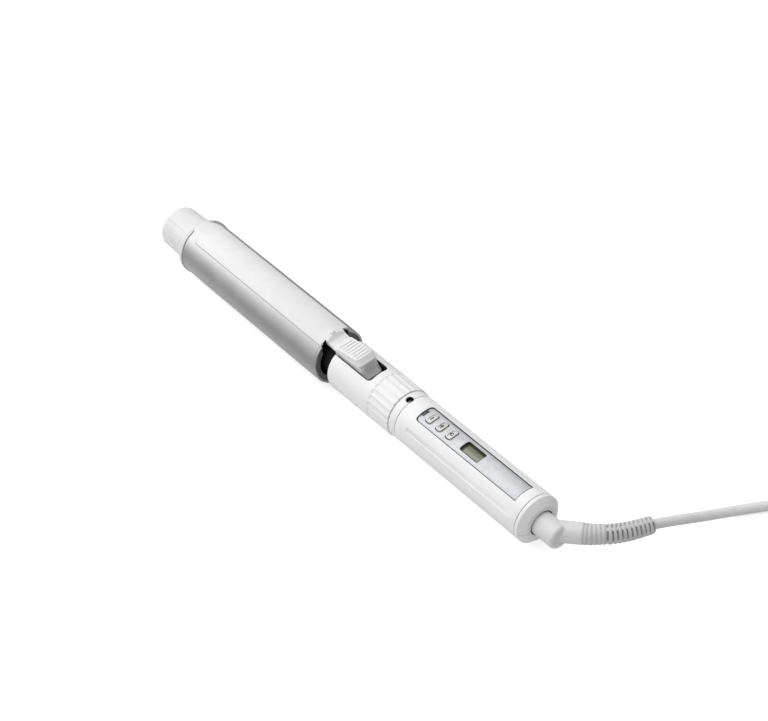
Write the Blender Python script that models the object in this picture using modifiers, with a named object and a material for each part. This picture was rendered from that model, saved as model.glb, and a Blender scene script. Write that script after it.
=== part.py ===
"""Curling iron with a hand-turned barrel head on a corded handle, built as separate jointed pieces.

Metres, +Z up. The tool lies along X with its cool tip towards -X and its cord leaving towards +X.
Tool coordinates are (station, y, z): station runs along the tool from the tip's end, and y and z are
measured from the tool's axis. The world's origin is on the floor under the middle of the tool.
"""

import math

import bmesh
import bpy
from mathutils import Vector

CLEAR = 0.0003  # between pieces that touch, slide or turn on each other
WELD = 0.000001
OVERCUT = 0.002  # how far a cutter runs past what it cuts
ROUND_STEPS = 48
ROUTE_STEPS = 40  # between two points of a route, before it is divided evenly
SMALL_CORNER = 0.0003

# Cool tip
TIP_LENGTH = 0.0243
TIP_END_RADIUS = 0.0124
TIP_BASE_RADIUS = 0.0131
TIP_EDGE = 0.0018
TIP_WALL = 0.0018
FLANGE_STEP = 0.0005  # how far the flange stands out from the barrel
FLANGE_THICKNESS = 0.0023
SPIGOT_LENGTH = 0.008

# Barrel and heater
BARREL_RADIUS = 0.015875
BARREL_WALL = 0.0016
BARREL_LENGTH = 0.1222
BLOCK_GAP = 0.0013  # between the heater blocks and the barrel's bore
BLOCK_LENGTH = 0.07
BLOCK_SETBACK = 0.0151  # from the barrel's front edge
HEATER_WIDTH = 0.02
HEATER_THICKNESS = 0.003
THERMISTOR_RADIUS = 0.0015
FUSE_RADIUS = 0.002
SENSOR_LENGTH = 0.0134
SENSOR_SIDE = 0.006

# Collar, neck and spindle of the turning head
RIM_TO_COLLAR = 0.0075
COLLAR_RADIUS = 0.01402
COLLAR_STEP = 0.00079  # from the handle's surface out to the collar's
COLLAR_LENGTH = 0.0501
COLLAR_WALL = 0.0018
COLLAR_EDGE = 0.0014
SLOT_LENGTH = 0.0295
SLOT_HALF_WIDTH = 0.0065
SLOT_CORNER = 0.0026
SLOT_FLOOR = 0.002  # height of the slot's lower edge above the tool's axis
NECK_RADIUS = 0.0093
NECK_BORE = 0.0032
NECK_PLUG_LENGTH = 0.012
NECK_TAPER = 0.0015
NECK_DISC_SETBACK = 0.0004  # behind the end of the lever's slot
NECK_DISC_WIDTH = 0.003
SPINDLE_SEAT = 0.0019  # behind the end of the lever's slot
SPINE_FRONT = 0.0085  # before the pivot
SPINE_REAR = 0.014  # behind the pivot
SPINE_HALF_WIDTH = 0.0042
SPINE_FLOOR = 0.0022  # height of the cut beside the spine above the tool's axis
HUB_RADIUS = 0.0072
HUB_LENGTH = 0.008
SPINDLE_RADIUS = 0.004
SPINDLE_BORE = 0.0029
SPINDLE_REACH = 0.0272  # behind the collar
CLIP_THICKNESS = 0.0007
CLIP_GROOVE = 0.0006
CLIP_RADIUS = 0.0058
CLIP_SETBACK = 0.0024  # of its groove, from the spindle's rear end
CLIP_MOUTH = 0.8  # width of the clip's opening, as a share of its radius

# Clamp and thumb lever. The side outline is given from the pivot.
CLAMP_FRONT_GAP = 0.0004
CLAMP_THICKNESS = 0.001525  # from the barrel to the cover's outer face
CLAMP_HALF_WIDTH = 0.009
CLAMP_NOSE = 0.0076
CLAMP_REAR_GAP = 0.0025  # from the cover's rear edge to the barrel's rim
TONGUE_THICKNESS = 0.0004
TONGUE_INSET = 0.002
TAIL_HALF_WIDTH = 0.003
NECK_STEP = -0.0114  # where the lever's neck drops behind the barrel's rim, from the pivot
NECK_DROP = 0.0024
NECK_SHOULDER = ((0.0004, -0.0001), (0.0018, -0.0010))  # from the top of the step
PIVOT_BEHIND_RIM = 0.0119
PIVOT_HEIGHT = 0.006
PIN_RADIUS = 0.0012
PIN_HALF_LENGTH = 0.006
LEVER_HALF_WIDTH = 0.0058
LEVER_WALL = 0.0013
EAR_RADIUS = 0.003
LEVER_TOP = (
    (-0.0084, 0.0093),
    (-0.0067, 0.0089),
    (-0.0053, 0.0095),
    (-0.0040, 0.0104),
    (0.0150, 0.0143),
    (0.0160, 0.0141),
    (0.0183, 0.0111),
    (0.0206, 0.0032),
    (0.0041, -0.0020),
)
LEVER_FRONT = ((-0.0040, 0.0060), (-0.0046, 0.0072), (-0.0096, 0.0072))
LEVER_HOLLOW = (
    (-0.0070, -0.0060),
    (-0.0070, 0.0064),
    (-0.0039, 0.0079),
    (0.0143, 0.0119),
    (0.0166, 0.0102),
    (0.0187, 0.0020),
    (0.0187, -0.0060),
)
LEVER_HUMP_FRONT = -0.0075  # behind here the lever may stand above the cover's round
LEVER_HUMP_RISE = 0.005
LEVER_REACH = 0.03
RIVET_RADIUS = 0.0016
RIVET_SHANK = 0.0008
RIVET_HEIGHT = 0.0008
RIVET_BEFORE_RIM = 0.0012
SPRING_RADIUS = 0.0021
SPRING_WIRE = 0.00035
SPRING_TURNS = 4
SPRING_PITCH = 0.00095
SPRING_START = 70  # degrees round the pin where the coil meets its upper leg
SPRING_UPPER_LEG = ((0.0078, 0.0068), (0.0040, 0.0045))
SPRING_LOWER_LEG = (0.0032, -0.0008)
SPRING_NOTCH_HALF_WIDTH = 0.0028
SPRING_NOTCH_HALF_LENGTH = 0.004
SPRING_NOTCH_FLOOR = 0.0026

# Handle
RING_WIDTH = 0.00485
SHELL_WALL = 0.0016
SHELL_LENGTH = 0.0906
PART_LINE = -0.0006  # height of the line between the shells above the tool's axis
SPIGOT_WALL = 0.0014
RING_SPIGOT = 0.0053
RING_WEB = 0.0006
BEARING_RADIUS = 0.0062
BEARING_LENGTH = 0.0056
SCREW_STATION = -0.0012  # from the ring's rear face
SCREW_HOLE_RADIUS = 0.00185
SCREW_HEAD_RADIUS = 0.0015
SCREW_HEAD_DEPTH = 0.0016  # below the ring's surface
SCREW_HEAD_HEIGHT = 0.0012
SCREW_SHANK_RADIUS = 0.0008
SCREW_SHANK_LENGTH = 0.003
PANEL_START = 0.0097  # behind the shells' front edge
PANEL_END_MARGIN = 0.0057
PANEL_HALF_WIDTH = 0.0059
PANEL_CORNER = 0.0014
PANEL_THICKNESS = 0.0006
BUTTON_STATIONS = {"minus": 0.01615, "plus": 0.02385, "power": 0.0314}
BUTTON_LENGTH = 0.0038
BUTTON_WIDTH = 0.0061
BUTTON_CORNER = 0.0011
BUTTON_PROUD = 0.0004
BUTTON_TRAVEL = 0.0005
BUTTON_FOOT_DROP = 0.0013  # from the shell's bore down to the foot's underside
BUTTON_LIP = 0.0005
SCREEN_STATION = 0.04745
SCREEN_LENGTH = 0.0136
SCREEN_WIDTH = 0.0068
SCREEN_FRAME = 0.0014
SCREEN_DEPTH = 0.0008  # from the panel's face down to the glass
SCREEN_MODULE_DROP = 0.0013  # from the shell's bore down to the module
SCREEN_MODULE_WIDTH = 0.0086
OPENING_FLOOR = 0.005
LAMP_STATION = 0.01
LAMP_LENGTH = 0.0019
LAMP_WIDTH = 0.0034

# Inside the handle
BOARD_FRONT = 0.0102  # behind the shells' front edge
BOARD_END_MARGIN = 0.0129  # from the board's rear edge to the shells' rear edge
BOARD_SIDE_GAP = 0.0007  # from the board's upper corners to the shells' bore
BOARD_DROP = 0.0029  # from the buttons' feet down to the board's middle
BOARD_THICKNESS = 0.001
TRIAC_STATION = 0.04
TRIAC_SIZE = (0.0105, 0.01, 0.0045)
SWITCH_SIZE = 0.0036
SWITCH_HEIGHT = 0.001
PLUNGER_RADIUS = 0.0008
PLUNGER_GAP = 0.0001  # left when a button is pressed home
SLIP_RING_STATIONS = (0.0083, 0.0123, 0.0163)
SLIP_RING_WIDTH = 0.0022
SLIP_RING_RADIUS = 0.0062
SLEEVE_RADIUS = 0.005
BRUSH_SIZE = (0.0018, 0.0024, 0.0029)
HOLDER_HALF_WIDTH = 0.0045
HOLDER_MARGIN = 0.002
HOLDER_GAP = 0.0012  # from the slip rings down to the holder
HOLDER_SEAT = 0.00143  # from the holder's underside to the shells' bore

# End cap and the cord's swivel
CAP_LENGTH = 0.00505
CAP_RIM = 0.0019
CAP_FACE_RADIUS = 0.0097
CAP_HOLE_RADIUS = 0.00675
CAP_FACE_WALL = 0.0018
CAP_SPIGOT = 0.0055
CAP_INNER_SLOPE = 0.001
STUB_RADIUS = 0.0064
STUB_REACH = 0.014
STUB_FLANGE_RADIUS = 0.0084
STUB_FLANGE_WIDTH = 0.0023
STUB_INSIDE = 0.0096
STUB_STEP = 0.0004  # its inner end is this much smaller in radius
STUB_DOME = ((0.0042, 1.0), (0.0026, 0.95), (0.0012, 0.8), (0.0003, 0.5))
CONTACT_RING_RADII = (0.004, 0.0054)
CONTACT_PIN_RADIUS = 0.0013
CONTACT_THICKNESS = 0.0013
CONTACT_SPRING_SIZE = (0.0028, 0.0022, 0.0012)
CONTACT_SPRING_SIDE = 0.0047
CONTACT_HOLDER_WIDTH = 0.0024
ELBOW_START = (0.0064, -0.0001, 0.0)
ELBOW_END = (0.0173, 0.0088, -0.0004)
ELBOW_RADII = (0.0056, 0.0054)

# Strain relief and cord. Their points are measured from the middle of the end cap's face.
RELIEF_ROUTE = (
    (0.0177, 0.0091, -0.0004),
    (0.0209, 0.0119, -0.0007),
    (0.0241, 0.0155, -0.0010),
    (0.0271, 0.0192, -0.0014),
    (0.0296, 0.0233, -0.0019),
    (0.0317, 0.0278, -0.0025),
    (0.0333, 0.0324, -0.0032),
    (0.0350, 0.0382, -0.0042),
)
RELIEF_RADII = (0.0053, 0.0044)
RELIEF_SPACING = 0.0025
CORD_RADIUS = 0.0026
CORD_SPACING = 0.006
CORD_ROUTE = (
    (0.0351, 0.0385, -0.0043),
    (0.0374, 0.0442, -0.0054),
    (0.0398, 0.0499, -0.0068),
    (0.0422, 0.0556, -0.0083),
    (0.0461, 0.0646, -0.0104),
    (0.0521, 0.0775, -0.0127),
    (0.0596, 0.0900, -0.0135),
    (0.0679, 0.1034, -0.0127),
)
COIL_CENTRE = (0.1095, 0.0998)
COIL_MIDDLE_RADIUS = 0.0312
COIL_COLUMNS = 3
COIL_LAYERS = 4
COIL_LIFT = 0.0012  # above the floor
TAIL_ROUTE = (
    (0.1419, 0.1273, 0.0026),
    (0.1489, 0.1246, 0.0012),
    (0.1553, 0.1192, -0.0019),
    (0.1595, 0.1120, -0.0050),
    (0.1609, 0.1038, -0.0074),
    (0.1609, 0.0970, -0.0083),
)
TIE_ANGLE = math.radians(-105)
TIE_WIDTH = 0.008
TIE_THICKNESS = 0.0006
PLUG_TURN = math.radians(-90)
PLUG_NECK = 0.014
PLUG_NECK_OVERLAP = 0.004
PLUG_NECK_RADII = (0.0036, 0.0055)
PLUG_SIZE = (0.028, 0.024, 0.0152)
PLUG_EDGE = 0.003
BLADE_SIZE = (0.017, 0.0015, 0.0063)
BLADE_SPACING = 0.0127

BARREL_FRONT = TIP_LENGTH + FLANGE_THICKNESS + CLEAR
BARREL_REAR = BARREL_FRONT + BARREL_LENGTH
COLLAR_FRONT = BARREL_REAR + RIM_TO_COLLAR
COLLAR_REAR = COLLAR_FRONT + COLLAR_LENGTH
RING_FRONT = COLLAR_REAR + CLEAR
RING_REAR = RING_FRONT + RING_WIDTH
SHELL_FRONT = RING_REAR + CLEAR
SHELL_REAR = SHELL_FRONT + SHELL_LENGTH
CAP_FRONT = SHELL_REAR + CLEAR
CAP_REAR = CAP_FRONT + CAP_LENGTH
STUB_REAR = CAP_REAR + STUB_REACH
PIVOT = (BARREL_REAR + PIVOT_BEHIND_RIM, 0.0, PIVOT_HEIGHT)
FLANGE_RADIUS = BARREL_RADIUS + FLANGE_STEP
CLAMP_RADIUS = BARREL_RADIUS + CLAMP_THICKNESS
BORE_RADIUS = BARREL_RADIUS - BARREL_WALL
BLOCK_RADIUS = BORE_RADIUS - BLOCK_GAP
PLUG_FIT = BORE_RADIUS - CLEAR
HANDLE_RADIUS = COLLAR_RADIUS - COLLAR_STEP
SHELL_BORE = HANDLE_RADIUS - SHELL_WALL
SPIGOT_RADIUS = SHELL_BORE - CLEAR
SPIGOT_BORE = SPIGOT_RADIUS - SPIGOT_WALL
SCREW_HEAD_TOP = HANDLE_RADIUS - SCREW_HEAD_DEPTH
PANEL_LENGTH = SHELL_LENGTH - PANEL_START - PANEL_END_MARGIN
BOARD_LENGTH = SHELL_LENGTH - BOARD_FRONT - BOARD_END_MARGIN
BUTTON_TOP = HANDLE_RADIUS + BUTTON_PROUD
BUTTON_FOOT = SHELL_BORE - BUTTON_FOOT_DROP
BOARD_HEIGHT = BUTTON_FOOT - BOARD_DROP
BOARD_TOP = BOARD_HEIGHT + BOARD_THICKNESS / 2
BOARD_HALF_WIDTH = math.sqrt((SHELL_BORE - BOARD_SIDE_GAP) ** 2 - BOARD_TOP**2)
SCREEN_TOP = HANDLE_RADIUS - SCREEN_DEPTH
HOLDER_TOP = SLIP_RING_RADIUS + HOLDER_GAP
HOLDER_BOTTOM = SHELL_BORE - HOLDER_SEAT
ELBOW_HEADING = math.atan2(ELBOW_END[1] - ELBOW_START[1], ELBOW_END[0] - ELBOW_START[0])
TOOL_LENGTH = CAP_REAR + ELBOW_END[0] + ELBOW_RADII[1] * math.sin(ELBOW_HEADING)
AXIS_HEIGHT = max(FLANGE_RADIUS, COLLAR_RADIUS, HANDLE_RADIUS)
WORLD_OF_TOOL = Vector((-TOOL_LENGTH / 2, 0.0, AXIS_HEIGHT))
LYING = (0.0, math.pi / 2, 0.0)  # turns a piece made about Z to lie along the tool
SIDEWAYS = (math.pi / 2, 0.0, 0.0)

# Colour, roughness and metallic value of each finish
WHITE = ((0.86, 0.86, 0.87), 0.32, 0.0)
COOL_WHITE = ((0.80, 0.80, 0.81), 0.4, 0.0)
GREY_RUBBER = ((0.66, 0.66, 0.67), 0.55, 0.0)
SILVER = ((0.70, 0.70, 0.71), 0.35, 0.85)
PANEL_GREY = ((0.67, 0.68, 0.70), 0.4, 0.2)
BLACK = ((0.02, 0.02, 0.02), 0.5, 0.0)
SCREEN_GREEN = ((0.21, 0.22, 0.13), 0.2, 0.0)
BOARD_GREEN = ((0.03, 0.16, 0.07), 0.5, 0.0)
BRASS = ((0.78, 0.60, 0.28), 0.3, 1.0)
STEEL = ((0.56, 0.56, 0.57), 0.3, 1.0)
ALUMINIUM = ((0.75, 0.75, 0.76), 0.4, 1.0)
BRONZE = ((0.55, 0.37, 0.18), 0.4, 1.0)
CARBON = ((0.05, 0.05, 0.05), 0.7, 0.0)
CERAMIC = ((0.75, 0.72, 0.66), 0.6, 0.0)

for old in list(bpy.data.objects):
    bpy.data.objects.remove(old)
PARTS = bpy.data.collections.new("curling_iron")
CUTTERS = bpy.data.collections.new("cutters")
bpy.context.scene.collection.children.link(PARTS)
bpy.context.scene.collection.children.link(CUTTERS)


def world(place):
    """A place in tool coordinates as a point in the world."""
    return WORLD_OF_TOOL + Vector(place)


def from_cap(place):
    """A place measured from the end cap's face, in tool coordinates."""
    return Vector((CAP_REAR, 0.0, 0.0)) + Vector(place)


def frame(name, place, parent=None):
    """An empty on a joint's axis, which the pieces of one body hang on."""
    empty = bpy.data.objects.new(name, None)
    empty.empty_display_size = 0.01
    PARTS.objects.link(empty)
    empty["place"] = tuple(world(place))
    empty.location = world(place)
    if parent:
        empty.parent = parent
        empty.location -= Vector(parent["place"])
    return empty


CORD_SET = frame("cord_set_frame", (CAP_REAR, 0.0, 0.0))
HANDLE = frame("handle_frame", (CAP_REAR, 0.0, 0.0), CORD_SET)
HEAD = frame("head_frame", (RING_FRONT, 0.0, 0.0), HANDLE)
CLAMP = frame("clamp_frame", PIVOT, HEAD)


def part(name, shape, body, finish):
    """Make a shape a piece of a body, with a material of its own."""
    colour, roughness, metallic = finish
    material = bpy.data.materials.new(name)
    material.use_nodes = True
    shader = material.node_tree.nodes["Principled BSDF"]
    shader.inputs["Base Color"].default_value = (*colour, 1.0)
    shader.inputs["Roughness"].default_value = roughness
    shader.inputs["Metallic"].default_value = metallic
    shape.data.materials.append(material)
    shape.name = name
    shape.data.name = name
    shape.parent = body
    shape.location -= Vector(body["place"])
    PARTS.objects.link(shape)
    return shape


def cutter(shape):
    """Make a shape a helper that cuts or trims a piece and isn't one itself."""
    shape.hide_render = True
    shape.display_type = "WIRE"
    CUTTERS.objects.link(shape)
    return shape


def boolean(shape, operation, helper):
    modifier = shape.modifiers.new(operation.lower(), "BOOLEAN")
    modifier.operation = operation
    modifier.solver = "EXACT"
    modifier.object = cutter(helper)


def cut(shape, *helpers):
    for helper in helpers:
        boolean(shape, "DIFFERENCE", helper)
    return shape


def trim(shape, helper):
    boolean(shape, "INTERSECT", helper)
    return shape


def fuse(shape, *helpers):
    for helper in helpers:
        boolean(shape, "UNION", helper)
    return shape


def rounded(shape, width, segments=2):
    modifier = shape.modifiers.new("edges", "BEVEL")
    modifier.width = width
    modifier.segments = segments
    modifier.limit_method = "ANGLE"
    modifier.angle_limit = math.radians(40)
    return shape


def shape_of(mesh, place=(0.0, 0.0, 0.0), turn=(0.0, 0.0, 0.0)):
    """An object for a mesh at a place in tool coordinates, not yet in a collection."""
    made = bpy.data.objects.new("shape", mesh)
    made.location = world(place)
    made.rotation_euler = turn
    return made


def mesh_of(shape):
    """A datablock for a bmesh, with its round faces shaded smooth."""
    mesh = bpy.data.meshes.new("shape")
    shape.to_mesh(mesh)
    shape.free()
    mesh.shade_smooth()
    mesh.set_sharp_from_angle(angle=math.radians(35))
    return mesh


def turned(outline, steps=ROUND_STEPS):
    """A body turned about the tool's axis from an outline of (station, radius) points."""
    closed_loop = all(radius > WELD for _, radius in outline)
    pairs = zip(outline, outline[1:] + outline[:1])
    area = sum(a[0] * b[1] - b[0] * a[1] for a, b in pairs)
    points = list(outline) if area > 0 else list(reversed(outline))
    shape = bmesh.new()
    corners = [shape.verts.new((radius, 0.0, station)) for station, radius in points]
    for start, end in zip(corners, corners[1:]):
        shape.edges.new((start, end))
    if closed_loop:
        shape.edges.new((corners[-1], corners[0]))
    mesh = bpy.data.meshes.new("shape")
    shape.to_mesh(mesh)
    shape.free()
    made = shape_of(mesh, turn=LYING)
    screw = made.modifiers.new("turned", "SCREW")
    screw.steps = steps
    screw.render_steps = steps
    screw.use_merge_vertices = True
    screw.merge_threshold = WELD
    screw.use_smooth_shade = True
    return made


def block(size, place, turn=(0.0, 0.0, 0.0)):
    """A box of a (length, width, height), centred at its place."""
    shape = bmesh.new()
    bmesh.ops.create_cube(shape, size=1.0)
    bmesh.ops.scale(shape, vec=size, verts=shape.verts)
    return shape_of(mesh_of(shape), place, turn)


def rod(radius, length, place, turn=(0.0, 0.0, 0.0), steps=24, end_radius=None):
    """A round rod along its own Z, centred at its place. It tapers to end_radius at +Z."""
    shape = bmesh.new()
    bmesh.ops.create_cone(
        shape,
        cap_ends=True,
        segments=steps,
        radius1=radius,
        radius2=radius if end_radius is None else end_radius,
        depth=length,
    )
    return shape_of(mesh_of(shape), place, turn)


def outline_solid(points, thickness, place, turn=(0.0, 0.0, 0.0)):
    """A flat outline given thickness, made a mesh so that it can cut and be cut."""
    curve = bpy.data.curves.new("outline", "CURVE")
    curve.dimensions = "2D"
    curve.fill_mode = "BOTH"
    curve.extrude = thickness / 2
    spline = curve.splines.new("POLY")
    spline.points.add(len(points) - 1)
    for corner, (across, up) in zip(spline.points, points):
        corner.co = (across, up, 0.0, 1.0)
    spline.use_cyclic_u = True
    drawn = bpy.data.objects.new("outline", curve)
    CUTTERS.objects.link(drawn)
    bpy.context.view_layer.update()
    graph = bpy.context.evaluated_depsgraph_get()
    mesh = bpy.data.meshes.new_from_object(drawn.evaluated_get(graph))
    bpy.data.objects.remove(drawn)
    shape = bmesh.new()
    shape.from_mesh(mesh)
    bmesh.ops.remove_doubles(shape, verts=shape.verts, dist=WELD)
    bmesh.ops.recalc_face_normals(shape, faces=shape.faces)
    return shape_of(mesh_of(shape), place, turn)


def arc(centre, radius, start, end, steps):
    """Points along an arc, with its angles in degrees."""
    angles = [math.radians(start + (end - start) * step / steps) for step in range(steps + 1)]
    return [(centre[0] + radius * math.cos(a), centre[1] + radius * math.sin(a)) for a in angles]


def rounded_box(start, end, half_width, radius, steps=4):
    """A plan outline from start to end along the tool, with round corners."""
    inner = half_width - radius
    corners = (
        (end - radius, inner, 0),
        (start + radius, inner, 90),
        (start + radius, -inner, 180),
        (end - radius, -inner, 270),
    )
    points = []
    for station, y, angle in corners:
        points += arc((station, y), radius, angle, angle + 90, steps)
    return points


def plan(points, low, high):
    """A plan outline of (station, y) points between two heights above the tool's axis."""
    return outline_solid(points, high - low, (0.0, 0.0, (low + high) / 2))


def side(points, half_width):
    """A side outline of (station, z) points, as wide to each side of the tool's middle."""
    return outline_solid(points, 2 * half_width, (0.0, 0.0, 0.0), SIDEWAYS)


def arched_plate(points, inner, outer):
    """What a plan outline keeps of a round wall between two radii, above the tool's axis."""
    stations = [station for station, _ in points]
    front = min(stations) - OVERCUT
    rear = max(stations) + OVERCUT
    wall = turned([(front, inner), (front, outer), (rear, outer), (rear, inner)])
    return trim(wall, plan(points, 0.0, outer + OVERCUT))


def ring(front, rear, inner, outer):
    return turned([(front, inner), (front, outer), (rear, outer), (rear, inner)])


def smooth_route(points, spacing):
    """Points a spacing apart along a smooth curve through a route's points."""
    route = [Vector(point) for point in points]
    ends = [2 * route[0] - route[1]] + route + [2 * route[-1] - route[-2]]
    dense = []
    for before, start, end, after in zip(ends, ends[1:], ends[2:], ends[3:]):
        for step in range(ROUTE_STEPS):
            t = step / ROUTE_STEPS
            out = 0.5 * (end - before)
            into = 0.5 * (after - start)
            dense.append(
                start * (2 * t**3 - 3 * t**2 + 1)
                + out * (t**3 - 2 * t**2 + t)
                + end * (3 * t**2 - 2 * t**3)
                + into * (t**3 - t**2)
            )
    dense.append(route[-1])
    travelled = [0.0]
    for start, end in zip(dense, dense[1:]):
        travelled.append(travelled[-1] + (end - start).length)
    count = max(2, round(travelled[-1] / spacing))
    made = []
    index = 0
    for step in range(count + 1):
        target = travelled[-1] * step / count
        while index < len(dense) - 2 and travelled[index + 1] < target:
            index += 1
        run = travelled[index + 1] - travelled[index]
        share = (target - travelled[index]) / run if run else 0.0
        made.append(dense[index].lerp(dense[index + 1], min(share, 1.0)))
    return made


def tube(points, radii, resolution=2):
    """A round tube along points, its radius running evenly from the first value to the second."""
    curve = bpy.data.curves.new("tube", "CURVE")
    curve.dimensions = "3D"
    curve.bevel_depth = 1.0
    curve.bevel_resolution = resolution
    curve.use_fill_caps = True
    spline = curve.splines.new("POLY")
    spline.points.add(len(points) - 1)
    spline.use_smooth = True
    last = len(points) - 1
    for index, (corner, point) in enumerate(zip(spline.points, points)):
        corner.co = (*point, 1.0)
        corner.radius = radii[0] + (radii[1] - radii[0]) * index / last
    return shape_of(curve)


def solid_tube(points, radii, resolution=4):
    """A tube made a mesh, so that it can be joined to another solid."""
    drawn = tube(points, radii, resolution)
    CUTTERS.objects.link(drawn)
    bpy.context.view_layer.update()
    graph = bpy.context.evaluated_depsgraph_get()
    mesh = bpy.data.meshes.new_from_object(drawn.evaluated_get(graph))
    bpy.data.objects.remove(drawn)
    shape = bmesh.new()
    shape.from_mesh(mesh)
    bmesh.ops.remove_doubles(shape, verts=shape.verts, dist=WELD)
    bmesh.ops.recalc_face_normals(shape, faces=shape.faces)
    return shape_of(mesh_of(shape))


def cool_tip():
    inside = TIP_END_RADIUS - TIP_WALL
    spigot_rear = BARREL_FRONT + SPIGOT_LENGTH
    outline = [
        (0.0, 0.0),
        *arc((TIP_EDGE, TIP_END_RADIUS - TIP_EDGE), TIP_EDGE, 180, 90, 3),
        (TIP_LENGTH, TIP_BASE_RADIUS),
        (TIP_LENGTH, FLANGE_RADIUS),
        (TIP_LENGTH + FLANGE_THICKNESS, FLANGE_RADIUS),
        (TIP_LENGTH + FLANGE_THICKNESS, PLUG_FIT),
        (spigot_rear, PLUG_FIT),
        (spigot_rear, inside),
        (TIP_WALL * 2, inside),
        (TIP_WALL * 2, 0.0),
    ]
    part("cool_tip", turned(outline), HEAD, COOL_WHITE)


def barrel():
    tube_wall = ring(BARREL_FRONT, BARREL_REAR, BORE_RADIUS, BARREL_RADIUS)
    part("barrel_tube", tube_wall, HEAD, SILVER)


def heater():
    front = BARREL_FRONT + BLOCK_SETBACK
    rear = front + BLOCK_LENGTH
    middle = (front + rear) / 2
    slot = HEATER_THICKNESS / 2 + CLEAR
    for name, sign in (("heater_block_upper", 1), ("heater_block_lower", -1)):
        height = 2 * BLOCK_RADIUS
        other = sign * (slot - height / 2)
        solid = turned([(front, 0.0), (front, BLOCK_RADIUS), (rear, BLOCK_RADIUS), (rear, 0.0)])
        cut(solid, block((BLOCK_LENGTH + OVERCUT, 3 * BLOCK_RADIUS, height), (middle, 0.0, other)))
        part(name, solid, HEAD, ALUMINIUM)
    size = (BLOCK_LENGTH, HEATER_WIDTH, HEATER_THICKNESS)
    part("heater_element", block(size, (middle, 0.0, 0.0)), HEAD, CERAMIC)
    sensor_middle = rear + CLEAR + SENSOR_LENGTH / 2
    for name, radius, y in (
        ("thermistor", THERMISTOR_RADIUS, SENSOR_SIDE),
        ("thermal_fuse", FUSE_RADIUS, -SENSOR_SIDE),
    ):
        place = (sensor_middle, y, 0.0)
        part(name, rod(radius, SENSOR_LENGTH, place, LYING, 16), HEAD, STEEL)


def neck():
    """The black carrier: a plug in the barrel, a spine under the lever and a hub in the collar."""
    heater_rear = BARREL_FRONT + BLOCK_SETBACK + BLOCK_LENGTH
    front = heater_rear + SENSOR_LENGTH + 2 * CLEAR
    plug_rear = front + NECK_PLUG_LENGTH
    slot_rear = COLLAR_FRONT + SLOT_LENGTH
    disc_front = slot_rear + NECK_DISC_SETBACK
    disc_rear = disc_front + NECK_DISC_WIDTH
    hub_rear = disc_rear + HUB_LENGTH
    disc_radius = COLLAR_RADIUS - COLLAR_WALL - CLEAR
    seat = slot_rear + SPINDLE_SEAT
    outline = [
        (front, NECK_BORE),
        (front, PLUG_FIT),
        (plug_rear, PLUG_FIT),
        (plug_rear + NECK_TAPER, NECK_RADIUS),
        (disc_front, NECK_RADIUS),
        (disc_front, disc_radius),
        (disc_rear, disc_radius),
        (disc_rear, HUB_RADIUS),
        (hub_rear, HUB_RADIUS),
        (hub_rear, SPINDLE_RADIUS + CLEAR),
        (seat, SPINDLE_RADIUS + CLEAR),
        (seat, NECK_BORE),
    ]
    made = turned(outline)
    cut_front = PIVOT[0] - SPINE_FRONT
    spine_rear = PIVOT[0] + SPINE_REAR
    top = NECK_RADIUS + OVERCUT
    for sign in (1, -1):
        box = [
            (cut_front, sign * SPINE_HALF_WIDTH),
            (slot_rear, sign * SPINE_HALF_WIDTH),
            (slot_rear, sign * 2 * NECK_RADIUS),
            (cut_front, sign * 2 * NECK_RADIUS),
        ]
        cut(made, plan(box, SPINE_FLOOR, top))
    rear_box = rounded_box(spine_rear, slot_rear, 2 * NECK_RADIUS, SMALL_CORNER, 1)
    cut(made, plan(rear_box, SPINE_FLOOR, top))
    notch = rounded_box(
        PIVOT[0] - SPRING_NOTCH_HALF_LENGTH,
        PIVOT[0] + SPRING_NOTCH_HALF_LENGTH,
        SPRING_NOTCH_HALF_WIDTH,
        SMALL_CORNER,
        1,
    )
    cut(made, plan(notch, SPRING_NOTCH_FLOOR, top))
    cut(made, rod(PIN_RADIUS + CLEAR, 4 * NECK_RADIUS, PIVOT, SIDEWAYS))
    part("barrel_neck", made, HEAD, BLACK)


def collar():
    inner = COLLAR_RADIUS - COLLAR_WALL
    outline = [
        (COLLAR_FRONT, inner),
        *arc((COLLAR_FRONT + COLLAR_EDGE, COLLAR_RADIUS - COLLAR_EDGE), COLLAR_EDGE, 180, 90, 3),
        (COLLAR_REAR, COLLAR_RADIUS),
        (COLLAR_REAR, inner),
    ]
    slot_rear = COLLAR_FRONT + SLOT_LENGTH
    slot = rounded_box(COLLAR_FRONT - 2 * SLOT_CORNER, slot_rear, SLOT_HALF_WIDTH, SLOT_CORNER)
    made = cut(turned(outline), plan(slot, SLOT_FLOOR, COLLAR_RADIUS + OVERCUT))
    part("front_collar", made, HEAD, WHITE)


def hinge():
    made = rod(PIN_RADIUS, 2 * PIN_HALF_LENGTH, PIVOT, SIDEWAYS, 16)
    part("hinge_pin", made, HEAD, STEEL)
    length = SPRING_TURNS * SPRING_PITCH
    coil = [(x, -length / 2, z) for x, z in SPRING_UPPER_LEG]
    per_turn = 12
    for step in range(SPRING_TURNS * per_turn + 1):
        angle = math.radians(SPRING_START) - 2 * math.pi * step / per_turn
        y = -length / 2 + SPRING_PITCH * step / per_turn
        coil.append((SPRING_RADIUS * math.cos(angle), y, SPRING_RADIUS * math.sin(angle)))
    coil.append((SPRING_LOWER_LEG[0], length / 2, SPRING_LOWER_LEG[1]))
    points = [Vector(PIVOT) + Vector(point) for point in coil]
    wire = tube(points, (SPRING_WIRE, SPRING_WIRE), 1)
    part("clamp_spring", wire, HEAD, STEEL)


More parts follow.
